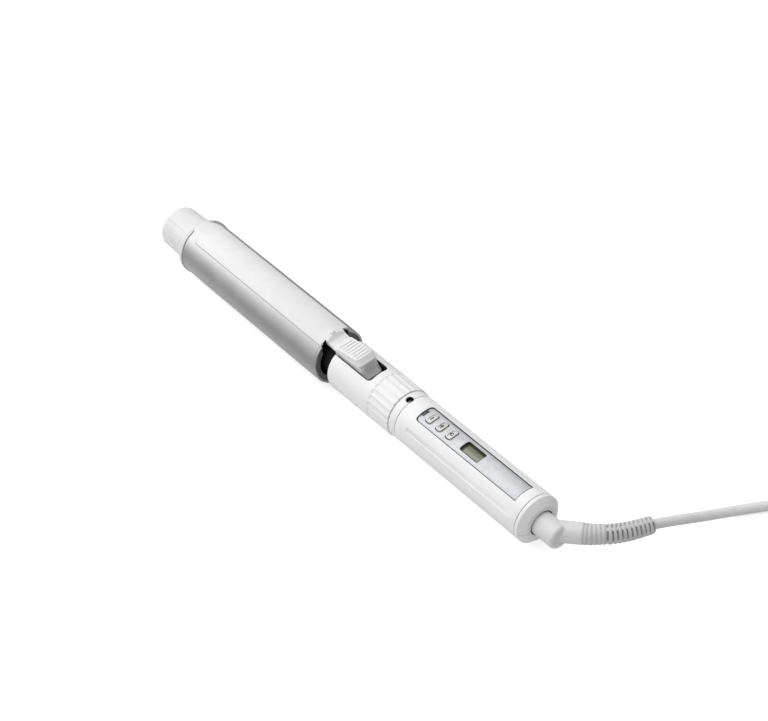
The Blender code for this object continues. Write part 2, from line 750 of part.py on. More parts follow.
def spindle():
    front = COLLAR_FRONT + SLOT_LENGTH + SPINDLE_SEAT + CLEAR
    rear = COLLAR_REAR + SPINDLE_REACH
    groove_front = rear - CLIP_SETBACK
    groove_rear = groove_front + CLIP_THICKNESS + 2 * CLEAR
    groove = SPINDLE_RADIUS - CLIP_GROOVE
    outline = [
        (front, SPINDLE_BORE),
        (front, SPINDLE_RADIUS),
        (groove_front, SPINDLE_RADIUS),
        (groove_front, groove),
        (groove_rear, groove),
        (groove_rear, SPINDLE_RADIUS),
        (rear, SPINDLE_RADIUS),
        (rear, SPINDLE_BORE),
    ]
    part("spindle", turned(outline, 32), HEAD, STEEL)
    sleeve_front = RING_FRONT + BEARING_LENGTH + 2 * CLEAR
    sleeve_rear = groove_front - CLEAR
    sleeve = ring(sleeve_front, sleeve_rear, SPINDLE_RADIUS + CLEAR, SLEEVE_RADIUS)
    part("slip_ring_sleeve", sleeve, HEAD, BLACK)
    half = SLIP_RING_WIDTH / 2
    for number, station in enumerate(SLIP_RING_STATIONS, 1):
        middle = SHELL_FRONT + station
        band = ring(middle - half, middle + half, SLEEVE_RADIUS + CLEAR, SLIP_RING_RADIUS)
        part(f"slip_ring_{number}", band, HEAD, BRASS)
    clip_front = groove_front + CLEAR
    clip_rear = clip_front + CLIP_THICKNESS
    clip = ring(clip_front, clip_rear, groove + CLEAR, CLIP_RADIUS)
    mouth = CLIP_MOUTH * CLIP_RADIUS
    mouth_place = ((clip_front + clip_rear) / 2, 0.0, -mouth)
    cut(clip, block((2 * CLIP_THICKNESS, mouth, CLIP_RADIUS), mouth_place))
    part("retaining_clip", clip, HEAD, STEEL)


def clamp():
    """The metal tongue on the barrel, its white cover, and the lever that lifts both."""
    front = BARREL_FRONT + CLAMP_FRONT_GAP
    rear = BARREL_REAR - CLAMP_REAR_GAP
    tongue_inner = BARREL_RADIUS + CLEAR
    tongue_outer = tongue_inner + TONGUE_THICKNESS
    flat = CLAMP_HALF_WIDTH - CLAMP_NOSE
    cover_plan = (
        arc((front + CLAMP_NOSE, flat), CLAMP_NOSE, 90, 180, 8)
        + arc((front + CLAMP_NOSE, -flat), CLAMP_NOSE, 180, 270, 8)
        + [(rear, -CLAMP_HALF_WIDTH), (rear, CLAMP_HALF_WIDTH)]
    )
    half = CLAMP_HALF_WIDTH - TONGUE_INSET
    tongue_front = front + TONGUE_INSET
    shoulder = rear - CLEAR
    tail_rear = PIVOT[0] + NECK_STEP - CLEAR
    tongue_plan = (
        arc((tongue_front + half, 0.0), half, 90, 270, 12)
        + [(shoulder, -half), (shoulder, -TAIL_HALF_WIDTH)]
        + [(tail_rear, -TAIL_HALF_WIDTH), (tail_rear, TAIL_HALF_WIDTH)]
        + [(shoulder, TAIL_HALF_WIDTH), (shoulder, half)]
    )
    pocket_half = half + CLEAR
    pocket_plan = arc((tongue_front + half, 0.0), pocket_half, 90, 270, 12) + [
        (rear + OVERCUT, -pocket_half),
        (rear + OVERCUT, pocket_half),
    ]
    cover = arched_plate(cover_plan, tongue_inner, CLAMP_RADIUS)
    pocket = arched_plate(pocket_plan, tongue_inner - OVERCUT, tongue_outer + CLEAR)
    part("clamp_cover", cut(cover, pocket), CLAMP, WHITE)

    rivet_station = BARREL_REAR - RIVET_BEFORE_RIM
    lever_front = rear + CLEAR
    tail_top = tongue_outer + CLEAR
    neck_low = tail_top - PIVOT_HEIGHT
    ear = arc((0.0, 0.0), EAR_RADIUS, -60, -180, 8)
    neck_top = CLAMP_RADIUS - PIVOT_HEIGHT
    outline = (
        [(lever_front - PIVOT[0], neck_top)]
        + [(NECK_STEP + x, neck_top + z) for x, z in NECK_SHOULDER]
        + list(LEVER_TOP)
        + ear
        + list(LEVER_FRONT)
        + [(NECK_STEP, neck_low - NECK_DROP), (NECK_STEP, neck_low)]
        + [(lever_front - PIVOT[0], neck_low)]
    )
    lever = side([(PIVOT[0] + x, PIVOT_HEIGHT + z) for x, z in outline], LEVER_HALF_WIDTH)
    hump_front = PIVOT[0] + LEVER_HUMP_FRONT
    reach = PIVOT[0] + LEVER_REACH
    trim(
        lever,
        turned(
            [
                (lever_front - OVERCUT, 0.0),
                (lever_front - OVERCUT, CLAMP_RADIUS),
                (hump_front, CLAMP_RADIUS),
                (hump_front + LEVER_HUMP_RISE, 2 * CLAMP_RADIUS),
                (reach, 2 * CLAMP_RADIUS),
                (reach, 0.0),
            ]
        ),
    )
    hollow = [(PIVOT[0] + x, PIVOT_HEIGHT + z) for x, z in LEVER_HOLLOW]
    cut(lever, side(hollow, LEVER_HALF_WIDTH - LEVER_WALL))
    cut(lever, rod(PIN_RADIUS + CLEAR, 4 * LEVER_HALF_WIDTH, PIVOT, SIDEWAYS))
    hole_height = 4 * RIVET_HEIGHT
    hole_place = (rivet_station, 0.0, CLAMP_RADIUS)
    cut(lever, rod(RIVET_SHANK + CLEAR, hole_height, hole_place, steps=12))
    part("thumb_lever", lever, CLAMP, WHITE)

    tongue = arched_plate(tongue_plan, tongue_inner, tongue_outer)
    cut(tongue, rod(RIVET_SHANK + CLEAR, hole_height, hole_place, steps=12))
    part("clamp_tongue", tongue, CLAMP, ALUMINIUM)

    head_low = CLAMP_RADIUS + CLEAR
    shank = head_low - tongue_inner + CLEAR
    rivet = rod(
        RIVET_RADIUS,
        RIVET_HEIGHT,
        (rivet_station, 0.0, head_low + RIVET_HEIGHT / 2),
        end_radius=RIVET_RADIUS * 0.6,
    )
    shank_place = (rivet_station, 0.0, tongue_inner + shank / 2)
    fuse(rivet, rod(RIVET_SHANK, shank, shank_place, steps=12))
    part("clamp_rivet", rivet, CLAMP, WHITE)


def handle_ring():
    """The ring that carries the bearing, with a spigot that the shells close on."""
    web_rear = RING_REAR + RING_WEB
    spigot_rear = RING_REAR + RING_SPIGOT
    bearing_seat = BEARING_RADIUS + CLEAR
    outline = [
        (RING_FRONT, bearing_seat),
        (RING_FRONT, HANDLE_RADIUS),
        (RING_REAR, HANDLE_RADIUS),
        (RING_REAR, SPIGOT_RADIUS),
        (spigot_rear, SPIGOT_RADIUS),
        (spigot_rear, SPIGOT_BORE),
        (web_rear, SPIGOT_BORE),
        (web_rear, bearing_seat),
    ]
    made = turned(outline)
    for sign in (1, -1):
        cut(made, *screw_holes(sign))
    part("handle_ring", made, HANDLE, WHITE)
    bearing = ring(
        RING_FRONT + CLEAR,
        RING_FRONT + BEARING_LENGTH,
        SPINDLE_RADIUS + CLEAR,
        BEARING_RADIUS,
    )
    part("front_bearing", bearing, HANDLE, BRONZE)
    for name, sign in (("ring_screw_upper", 1), ("ring_screw_lower", -1)):
        middle = SCREW_HEAD_TOP - SCREW_HEAD_HEIGHT / 2
        screw = rod(SCREW_HEAD_RADIUS, SCREW_HEAD_HEIGHT, screw_place(sign * middle), steps=16)
        shank_middle = SCREW_HEAD_TOP - SCREW_HEAD_HEIGHT - SCREW_SHANK_LENGTH / 2 + CLEAR
        shank_length = SCREW_SHANK_LENGTH + 2 * CLEAR
        place = screw_place(sign * shank_middle)
        fuse(screw, rod(SCREW_SHANK_RADIUS, shank_length, place, steps=12))
        part(name, screw, HANDLE, STEEL)


def screw_place(height):
    return (RING_REAR + SCREW_STATION, 0.0, height)


def screw_holes(sign):
    """Cutters for one screw's counterbore and its hole, above or below the axis."""
    seat = SCREW_HEAD_TOP - SCREW_HEAD_HEIGHT - CLEAR
    counterbore_length = HANDLE_RADIUS + OVERCUT - seat
    counterbore_middle = seat + counterbore_length / 2
    hole_length = SCREW_SHANK_LENGTH + OVERCUT
    hole_middle = seat - SCREW_SHANK_LENGTH - CLEAR + hole_length / 2
    return (
        rod(SCREW_HOLE_RADIUS, counterbore_length, screw_place(sign * counterbore_middle)),
        rod(SCREW_SHANK_RADIUS + CLEAR, hole_length, screw_place(sign * hole_middle), steps=12),
    )


def panel_outline(start, end, half_width, corner):
    return rounded_box(SHELL_FRONT + start, SHELL_FRONT + end, half_width, corner)


def centred_outline(station, length, width, corner):
    return panel_outline(station - length / 2, station + length / 2, width / 2, corner)


def opening(station, length, width, corner):
    """A cutter through the top of the handle, a clearance larger than what sits in it."""
    points = centred_outline(station, length + 2 * CLEAR, width + 2 * CLEAR, corner + CLEAR)
    return plan(points, OPENING_FLOOR, HANDLE_RADIUS + OVERCUT)


def panel_openings():
    cutters = [
        opening(station, BUTTON_LENGTH, BUTTON_WIDTH, BUTTON_CORNER)
        for station in BUTTON_STATIONS.values()
    ]
    cutters.append(opening(SCREEN_STATION, SCREEN_LENGTH, SCREEN_WIDTH, BUTTON_CORNER))
    cutters.append(opening(LAMP_STATION, LAMP_LENGTH, LAMP_WIDTH, SMALL_CORNER))
    return cutters


def half_space(front, rear, low, high):
    """A box across the tool between two stations and two heights."""
    size = (rear - front, 4 * HANDLE_RADIUS, high - low)
    return block(size, ((front + rear) / 2, 0.0, (low + high) / 2))


def upper_cut(front, rear):
    """Cutter that leaves what is above the parting line."""
    low = -2 * HANDLE_RADIUS
    return half_space(front - OVERCUT, rear + OVERCUT, low, PART_LINE + CLEAR / 2)


def lower_cut(front, rear):
    """Cutter that leaves what is below the parting line."""
    high = 2 * HANDLE_RADIUS
    return half_space(front - OVERCUT, rear + OVERCUT, PART_LINE - CLEAR / 2, high)


def shells():
    upper = ring(SHELL_FRONT, SHELL_REAR, SHELL_BORE, HANDLE_RADIUS)
    cut(upper, upper_cut(SHELL_FRONT, SHELL_REAR))
    panel_end = PANEL_START + PANEL_LENGTH
    recess_plan = panel_outline(PANEL_START, panel_end, PANEL_HALF_WIDTH, PANEL_CORNER)
    recess_radius = HANDLE_RADIUS - PANEL_THICKNESS - CLEAR
    cut(upper, arched_plate(recess_plan, recess_radius, HANDLE_RADIUS + OVERCUT))
    cut(upper, *panel_openings())
    cut(upper, screw_holes(1)[0])
    part("handle_upper_shell", upper, HANDLE, WHITE)

    lower = ring(SHELL_FRONT, SHELL_REAR, SHELL_BORE, HANDLE_RADIUS)
    cut(lower, lower_cut(SHELL_FRONT, SHELL_REAR), screw_holes(-1)[0])
    part("handle_lower_shell", lower, HANDLE, WHITE)

    plate_plan = panel_outline(
        PANEL_START + CLEAR,
        panel_end - CLEAR,
        PANEL_HALF_WIDTH - CLEAR,
        PANEL_CORNER - CLEAR,
    )
    plate = arched_plate(plate_plan, recess_radius + CLEAR, HANDLE_RADIUS)
    cut(plate, *panel_openings())
    part("panel_plate", plate, HANDLE, PANEL_GREY)


def screen():
    frame_plan = centred_outline(SCREEN_STATION, SCREEN_LENGTH, SCREEN_WIDTH, BUTTON_CORNER)
    bezel = arched_plate(frame_plan, SHELL_BORE + CLEAR, HANDLE_RADIUS - CLEAR)
    glass_length = SCREEN_LENGTH - 2 * SCREEN_FRAME
    glass_width = SCREEN_WIDTH - 2 * SCREEN_FRAME
    window = opening(SCREEN_STATION, glass_length, glass_width, SMALL_CORNER)
    part("screen_bezel", cut(bezel, window), HANDLE, BLACK)
    station = SHELL_FRONT + SCREEN_STATION
    module_low = BOARD_TOP + CLEAR
    module_high = SHELL_BORE - SCREEN_MODULE_DROP
    size = (SCREEN_LENGTH, SCREEN_MODULE_WIDTH, module_high - module_low)
    module = block(size, (station, 0.0, (module_low + module_high) / 2))
    part("screen_module", module, HANDLE, SCREEN_GREEN)
    glass_low = module_high + CLEAR
    size = (glass_length, glass_width, SCREEN_TOP - glass_low)
    glass = block(size, (station, 0.0, (SCREEN_TOP + glass_low) / 2))
    part("screen_glass", glass, HANDLE, SCREEN_GREEN)
    lamp_plan = centred_outline(LAMP_STATION, LAMP_LENGTH, LAMP_WIDTH, SMALL_CORNER)
    lamp = arched_plate(lamp_plan, SHELL_BORE + CLEAR, HANDLE_RADIUS)
    part("lamp_window", lamp, HANDLE, BLACK)


def buttons():
    """Three caps, each on its own frame, with a foot under the shell and a switch below it."""
    board_top = BOARD_TOP + CLEAR
    for name, station in BUTTON_STATIONS.items():
        place = (SHELL_FRONT + station, 0.0, BUTTON_TOP)
        body = frame(f"{name}_button_frame", place, HANDLE)
        outline = centred_outline(station, BUTTON_LENGTH, BUTTON_WIDTH, BUTTON_CORNER)
        cap = plan(outline, BUTTON_FOOT + BUTTON_LIP / 2, BUTTON_TOP)
        foot = centred_outline(
            station,
            BUTTON_LENGTH + 2 * BUTTON_LIP,
            BUTTON_WIDTH + 2 * BUTTON_LIP,
            BUTTON_CORNER,
        )
        fuse(cap, plan(foot, BUTTON_FOOT, BUTTON_FOOT + BUTTON_LIP))
        part(f"{name}_button", cap, body, SILVER)
        switch_place = (place[0], 0.0, board_top + SWITCH_HEIGHT / 2)
        switch = block((SWITCH_SIZE, SWITCH_SIZE, SWITCH_HEIGHT), switch_place)
        plunger_top = BUTTON_FOOT - BUTTON_TRAVEL - PLUNGER_GAP
        plunger_low = board_top + SWITCH_HEIGHT / 2
        plunger_place = (place[0], 0.0, (plunger_top + plunger_low) / 2)
        height = plunger_top - plunger_low
        fuse(switch, rod(PLUNGER_RADIUS, height, plunger_place, steps=16))
        part(f"{name}_switch", switch, HANDLE, BLACK)


def board():
    front = SHELL_FRONT + BOARD_FRONT
    size = (BOARD_LENGTH, 2 * BOARD_HALF_WIDTH, BOARD_THICKNESS)
    made = block(size, (front + BOARD_LENGTH / 2, 0.0, BOARD_HEIGHT))
    part("circuit_board", made, HANDLE, BOARD_GREEN)
    below = BOARD_HEIGHT - BOARD_THICKNESS / 2 - CLEAR
    place = (SHELL_FRONT + TRIAC_STATION, 0.0, below - TRIAC_SIZE[2] / 2)
    part("power_triac", block(TRIAC_SIZE, place), HANDLE, BLACK)


def brushes():
    first = SHELL_FRONT + SLIP_RING_STATIONS[0]
    last = SHELL_FRONT + SLIP_RING_STATIONS[-1]
    length = last - first + 2 * HOLDER_MARGIN
    middle = (first + last) / 2
    height = HOLDER_BOTTOM - HOLDER_TOP
    size = (length, 2 * HOLDER_HALF_WIDTH, height)
    holder = block(size, (middle, 0.0, -(HOLDER_BOTTOM + HOLDER_TOP) / 2))
    top = -SLIP_RING_RADIUS - CLEAR
    for number, station in enumerate(SLIP_RING_STATIONS, 1):
        place = (SHELL_FRONT + station, 0.0, top - BRUSH_SIZE[2] / 2)
        pocket = tuple(value + 2 * CLEAR for value in BRUSH_SIZE)
        cut(holder, block(pocket, place))
        part(f"brush_{number}", block(BRUSH_SIZE, place), HANDLE, CARBON)
    part("brush_holder", holder, HANDLE, BLACK)


def end_cap():
    inner_face = CAP_REAR - CAP_FACE_WALL
    outline = [
        (CAP_FRONT, SPIGOT_RADIUS),
        (CAP_FRONT, HANDLE_RADIUS),
        (CAP_FRONT + CAP_RIM, HANDLE_RADIUS),
        (CAP_REAR, CAP_FACE_RADIUS),
        (CAP_REAR, CAP_HOLE_RADIUS),
        (inner_face, CAP_HOLE_RADIUS),
        (inner_face, STUB_FLANGE_RADIUS + 2 * CLEAR),
        (inner_face - CAP_INNER_SLOPE, SPIGOT_BORE),
        (CAP_FRONT - CAP_SPIGOT, SPIGOT_BORE),
        (CAP_FRONT - CAP_SPIGOT, SPIGOT_RADIUS),
    ]
    front = CAP_FRONT - CAP_SPIGOT
    for name, splitter in (("end_cap_upper", upper_cut), ("end_cap_lower", lower_cut)):
        part(name, cut(turned(outline), splitter(front, CAP_REAR)), HANDLE, WHITE)


def swivel():
    """The cord's turning stub with its contacts, and the contacts in the handle."""
    flange_rear = CAP_REAR - CAP_FACE_WALL - 2 * CLEAR
    flange_front = flange_rear - STUB_FLANGE_WIDTH
    front = CAP_REAR - STUB_INSIDE
    inner_radius = STUB_RADIUS - STUB_STEP
    outline = [
        (front, 0.0),
        (front, inner_radius),
        (flange_front, inner_radius),
        (flange_front, STUB_FLANGE_RADIUS),
        (flange_rear, STUB_FLANGE_RADIUS),
        (flange_rear, STUB_RADIUS),
        *((STUB_REAR - back, STUB_RADIUS * share) for back, share in STUB_DOME),
        (STUB_REAR, 0.0),
    ]
    stub = turned(outline)
    elbow = [from_cap(ELBOW_START), from_cap(ELBOW_END)]
    fuse(stub, solid_tube(elbow, ELBOW_RADII))
    part("swivel_stub", stub, CORD_SET, GREY_RUBBER)
    contact_rear = front - CLEAR
    contact_front = contact_rear - CONTACT_THICKNESS
    contact = ring(contact_front, contact_rear, *CONTACT_RING_RADII)
    part("swivel_contact_ring", contact, CORD_SET, BRASS)
    pin_place = ((contact_front + contact_rear) / 2, 0.0, 0.0)
    pin = rod(CONTACT_PIN_RADIUS, CONTACT_THICKNESS, pin_place, LYING, 16)
    part("swivel_contact_pin", pin, CORD_SET, BRASS)
    spring_rear = contact_front - CLEAR
    spring_front = spring_rear - CONTACT_SPRING_SIZE[0]
    middle = (spring_front + spring_rear) / 2
    for name, y in (("ring_spring", CONTACT_SPRING_SIDE), ("pin_spring", 0.0)):
        part(name, block(CONTACT_SPRING_SIZE, (middle, y, 0.0)), HANDLE, BRASS)
    holder_rear = spring_front - CLEAR
    holder_front = holder_rear - CONTACT_HOLDER_WIDTH
    holder = turned(
        [(holder_front, 0.0), (holder_front, SHELL_BORE - CLEAR), (holder_rear, SHELL_BORE - CLEAR)]
        + [(holder_rear, 0.0)]
    )
    part("contact_holder", holder, HANDLE, BLACK)


def cord():
    relief = smooth_route([from_cap(point) for point in RELIEF_ROUTE], RELIEF_SPACING)
    part("strain_relief", tube(relief, RELIEF_RADII, 3), CORD_SET, GREY_RUBBER)
    radii = (CORD_RADIUS, CORD_RADIUS)
    lead = smooth_route([from_cap(point) for point in CORD_ROUTE], CORD_SPACING)
    part("power_cord", tube(lead, radii), CORD_SET, GREY_RUBBER)
    tail = smooth_route([from_cap(point) for point in TAIL_ROUTE], CORD_SPACING)
    part("cord_tail", tube(tail, radii), CORD_SET, GREY_RUBBER)


def coil():
    half_width = COIL_COLUMNS * CORD_RADIUS
    inner = COIL_MIDDLE_RADIUS - half_width
    outer = COIL_MIDDLE_RADIUS + half_width
    low = COIL_LIFT - AXIS_HEIGHT
    high = low + COIL_LAYERS * 2 * CORD_RADIUS
    wound = turned([(-high, inner), (-high, outer), (-low, outer), (-low, inner)])
    wound.rotation_euler = (math.pi, 0.0, 0.0)
    wound.location = world(from_cap((*COIL_CENTRE, 0.0)))
    part("cord_coil", wound, CORD_SET, GREY_RUBBER)

    sag = TIE_WIDTH**2 / 8 / inner + CLEAR
    opening_inner = inner - sag
    opening_outer = outer + CLEAR
    reach = (opening_inner + opening_outer) / 2
    size = (opening_outer - opening_inner, TIE_WIDTH, high - low + 2 * CLEAR)
    offset = Vector((reach * math.cos(TIE_ANGLE), reach * math.sin(TIE_ANGLE), (low + high) / 2))
    place = from_cap((*COIL_CENTRE, 0.0)) + offset
    turn = (0.0, 0.0, TIE_ANGLE)
    grown = 2 * TIE_THICKNESS
    band = block((size[0] + grown, TIE_WIDTH, size[2] + grown), place, turn)
    cut(band, block((size[0], 2 * TIE_WIDTH, size[2]), place, turn))
    part("cord_tie", band, CORD_SET, BLACK)


def plug():
    """A two-blade mains plug with a tapered neck, lying beside the coil."""
    start = from_cap(TAIL_ROUTE[-1])
    along = Vector((math.cos(PLUG_TURN), math.sin(PLUG_TURN), 0.0))
    across = Vector((-along.y, along.x, 0.0))
    turn = (0.0, 0.0, PLUG_TURN)
    body_middle = start + along * (CLEAR + PLUG_NECK + PLUG_SIZE[0] / 2)
    body = rounded(block(PLUG_SIZE, body_middle, turn), PLUG_EDGE)
    neck_length = PLUG_NECK + PLUG_NECK_OVERLAP
    neck_turn = (0.0, math.pi / 2, PLUG_TURN)
    neck_middle = start + along * (CLEAR + neck_length / 2)
    tapered = rod(PLUG_NECK_RADII[0], neck_length, neck_middle, neck_turn, 24, PLUG_NECK_RADII[1])
    part("plug_body", fuse(body, tapered), CORD_SET, COOL_WHITE)
    blade_reach = CLEAR + PLUG_NECK + PLUG_SIZE[0] + CLEAR + BLADE_SIZE[0] / 2
    for name, sign in (("plug_blade_live", -1), ("plug_blade_neutral", 1)):
        place = start + along * blade_reach + across * (sign * BLADE_SPACING / 2)
        part(name, block(BLADE_SIZE, place, turn), CORD_SET, BRASS)


cool_tip()
barrel()
heater()
neck()
collar()
hinge()
spindle()
clamp()
handle_ring()
shells()
screen()
buttons()
board()
brushes()
end_cap()
swivel()
cord()
coil()
plug()
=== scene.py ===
"""Looks of a curling iron: satin barrel, white mouldings, silver-grey panel and a coiled cord.

The iron lies along X with its cool tip towards -X. Angles round its axis are in degrees from the
top, positive towards +Y.
"""

import math

import bmesh
import bpy
from mathutils import Matrix, Vector


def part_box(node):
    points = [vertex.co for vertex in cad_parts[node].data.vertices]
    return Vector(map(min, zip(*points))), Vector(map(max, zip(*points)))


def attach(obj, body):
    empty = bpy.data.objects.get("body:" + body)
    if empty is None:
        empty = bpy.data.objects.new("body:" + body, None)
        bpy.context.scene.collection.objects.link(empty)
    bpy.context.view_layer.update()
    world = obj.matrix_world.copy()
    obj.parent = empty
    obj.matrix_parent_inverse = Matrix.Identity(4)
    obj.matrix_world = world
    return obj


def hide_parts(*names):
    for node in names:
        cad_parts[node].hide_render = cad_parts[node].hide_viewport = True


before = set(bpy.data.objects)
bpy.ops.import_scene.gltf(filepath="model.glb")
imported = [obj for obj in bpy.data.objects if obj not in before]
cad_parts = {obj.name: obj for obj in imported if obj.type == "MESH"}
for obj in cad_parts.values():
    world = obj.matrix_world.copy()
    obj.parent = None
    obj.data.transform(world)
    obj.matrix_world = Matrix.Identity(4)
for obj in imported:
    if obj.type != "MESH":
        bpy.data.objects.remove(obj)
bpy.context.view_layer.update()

MM = 0.001
ROUND = 192  # steps of a turned piece
FINE_ROUND = 360  # steps of a turned piece with flutes or grooves
SEAM = 0.16 * MM  # half the width of a line between two mouldings
TINY = 1e-9
UPRIGHT_STEPS = 48  # steps of a small piece turned round a vertical line
REACH = 0.04  # how far a cutting block runs past the tool


def middle(node):
    low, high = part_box(node)
    return (low + high) / 2


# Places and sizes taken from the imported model
barrel_low, barrel_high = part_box("barrel_tube")
AXIS = (barrel_low.z + barrel_high.z) / 2
BARREL_RADIUS = (barrel_high.z - barrel_low.z) / 2
BARREL_FRONT = barrel_low.x
BARREL_REAR = barrel_high.x
TIP_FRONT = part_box("cool_tip")[0].x
collar_low, collar_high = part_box("front_collar")
COLLAR_FRONT = collar_low.x
COLLAR_REAR = collar_high.x
COLLAR_RADIUS = collar_high.z - AXIS
RING_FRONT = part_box("handle_ring")[0].x
SHELL_FRONT, SHELL_REAR = (corner.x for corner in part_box("handle_upper_shell"))
HANDLE_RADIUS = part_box("handle_upper_shell")[1].z - AXIS
CAP_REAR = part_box("end_cap_upper")[1].x
PIVOT = middle("hinge_pin")
clamp_low, clamp_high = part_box("clamp_cover")
CLAMP_RADIUS = clamp_high.z - AXIS
PANEL_LOW, PANEL_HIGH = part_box("panel_plate")
CAP_CENTRE = Vector((CAP_REAR, 0.0, AXIS))
ABOVE = AXIS + 0.03  # a height over the whole tool

# Driving sizes of the visible pieces
TIP_RADII = (0.0124, 0.0131)
TIP_WALL = 0.0018
FLANGE_RADIUS = BARREL_RADIUS + 0.0005
FLANGE_WIDTH = 0.0023
BARREL_WALL = 0.0016
COLLAR_WALL = 0.0018
SHELL_WALL = 0.0016
SLOT_LENGTH = 0.0295
SLOT_HALF_WIDTH = 0.0065
SLOT_CORNER = 0.0026
SLOT_FLOOR = 0.002
LEVER_HALF_WIDTH = 0.0056
PART_LINE = -0.0006
SCREW_STATION = -0.0012 - 0.0003  # from the shells' front edge
SCREW_HOLE = 0.0021
CAP_RIM = 0.0019
CAP_FACE_RADIUS = 0.0097
CAP_HOLE = 0.0070
STUB_RADIUS = 0.0064
STUB_REACH = 0.014
CORD_RADIUS = 0.0026

# Camera, in metres from the model's origin
CAMERA_AZIMUTH = 59.598
CAMERA_ELEVATION = 44.954
CAMERA_ROLL = -11.48
CAMERA_DISTANCE = 1.062805
CAMERA_SHIFT = (-0.010327, 0.025122)  # sideways and upwards in the view
CAMERA_AIM = Vector((0.039192, 0.0, 0.016375))
CAMERA_LENS = 98.86


# --------------------------------------------------------------------------- finishes

def linear(code):
    """An sRGB hex colour as linear RGBA."""
    values = [int(code[start : start + 2], 16) / 255 for start in (1, 3, 5)]
    low = [value / 12.92 for value in values]
    high = [((value + 0.055) / 1.055) ** 2.4 for value in values]
    return (*[a if v <= 0.04045 else b for v, a, b in zip(values, low, high)], 1.0)


def add(tree, kind, settings=None, inputs=None, links=None):
    """Adds a node with its settings, inputs and links; a link is (source, output)."""
    made = tree.nodes.new(kind)
    for name, value in (settings or {}).items():
        setattr(made, name, value)
    for name, value in (inputs or {}).items():
        made.inputs[name].default_value = value
    for name, (source, output) in (links or {}).items():
        tree.links.new(source.outputs[output], made.inputs[name])
    return made


def ramp(tree, source, output, stops):
    """A colour ramp over a pattern, from (position, hex colour) stops."""
    made = add(tree, "ShaderNodeValToRGB", links={"Fac": (source, output)})
    elements = made.color_ramp.elements
    while len(elements) < len(stops):
        elements.new(0.5)
    for element, (position, code) in zip(elements, stops):
        element.position = position
        element.color = linear(code)
    return made


def spread(tree, source, output, low, high):
    """A pattern's 0 to 1 spread between two values."""
    inputs = {"To Min": low, "To Max": high}
    return add(tree, "ShaderNodeMapRange", inputs=inputs, links={"Value": (source, output)})


def new_material(name, slot):
    made = bpy.data.materials.new(name)
    made.use_nodes = True
    made.node_tree.nodes.clear()
    made["slot"] = slot
    place = add(made.node_tree, "ShaderNodeTexCoord")
    return made, made.node_tree, place


def close_material(tree, colour, rough, bump_source, bump_output, bump, bump_distance, shader):
    """Joins a colour, a roughness and a relief to the shader and the output."""
    relief = add(
        tree,
        "ShaderNodeBump",
        inputs={"Strength": bump, "Distance": bump_distance},
        links={"Height": (bump_source, bump_output)},
    )
    links = {"Base Color": (colour, "Color"), "Roughness": (rough, "Result")}
    links["Normal"] = (relief, "Normal")
    surface = add(tree, "ShaderNodeBsdfPrincipled", inputs=shader, links=links)
    add(tree, "ShaderNodeOutputMaterial", links={"Surface": (surface, "BSDF")})
    return surface


def grained(name, slot, colours, grain, rough, relief, shader=None, stretch=(1.0, 1.0, 1.0)):
    """A finish with a fine even grain: two near colours, a spread of roughness and a low relief.

    grain is the size of the grain in metres, and relief its height in metres.
    """
    made, tree, place = new_material(name, slot)
    moved = add(
        tree,
        "ShaderNodeMapping",
        inputs={"Scale": stretch},
        links={"Vector": (place, "Object")},
    )
    fine = add(
        tree,
        "ShaderNodeTexNoise",
        inputs={"Scale": 1.0 / grain, "Detail": 3.0},
        links={"Vector": (moved, "Vector")},
    )
    broad = add(
        tree,
        "ShaderNodeTexNoise",
        inputs={"Scale": 0.04 / grain, "Detail": 2.0},
        links={"Vector": (moved, "Vector")},
    )
    both = add(
        tree,
        "ShaderNodeMath",
        settings={"operation": "MULTIPLY_ADD"},
        links={0: (fine, "Fac"), 2: (broad, "Fac")},
        inputs={1: 0.4},
    )
    colour = ramp(tree, both, "Value", ((0.45, colours[0]), (0.95, colours[1])))
    roughness = spread(tree, both, "Value", *rough)
    close_material(tree, colour, roughness, fine, "Fac", 0.6, relief, shader or {})
    return made


# Moulded ABS, polished tool: a clean white with a soft gloss and a barely uneven skin.
WHITE = grained(
    "abs_moulded_white", "white_plastic", ("#F1F1F1", "#F6F6F6"), 0.5 * MM, (0.24, 0.34),
    0.004 * MM,
    shader={"IOR": 1.53, "Specular IOR Level": 0.45},
)
# Heat-resistant nylon, satin: the clamp's cover and lever, a greyer white than the handle.
COVER_WHITE = grained(
    "nylon_satin_moulded_white", "white_plastic", ("#E5E5E5", "#ECECEC"), 0.4 * MM,
    (0.3, 0.42), 0.005 * MM,
    shader={"IOR": 1.53},
)
# Heat-resistant nylon, spark-eroded tool: white, duller than the handle, with a fine even texture.
TIP_WHITE = grained(
    "nylon_spark_textured_white", "matte_white_plastic", ("#E2E2E2", "#E9E9E9"), 0.3 * MM,
    (0.38, 0.5), 0.008 * MM,
    shader={"IOR": 1.53},
)
# Painted ABS: silver-grey lacquer, with fine flakes that show as a slight glitter.
PANEL_SILVER = grained(
    "abs_painted_silver_grey", "silver_grey_plastic", ("#C9CACE", "#DADBDF"), 0.16 * MM,
    (0.3, 0.46), 0.004 * MM,
    shader={"Metallic": 0.25, "IOR": 1.5},
)
# Painted ABS keys: a lighter silver lacquer, glossy at the rims.
KEY_SILVER = grained(
    "abs_painted_key_silver", "button_silver", ("#D2D2D0", "#E2E2E0"), 0.16 * MM,
    (0.24, 0.36), 0.004 * MM,
    shader={"Metallic": 0.2, "IOR": 1.5},
)
# Pad-printed ink: a dull charcoal on the keys' marks.
KEY_INK = grained(
    "ink_printed_charcoal", "black_plastic", ("#1E1E1E", "#2C2C2C"), 0.1 * MM, (0.5, 0.65),
    0.004 * MM,
)
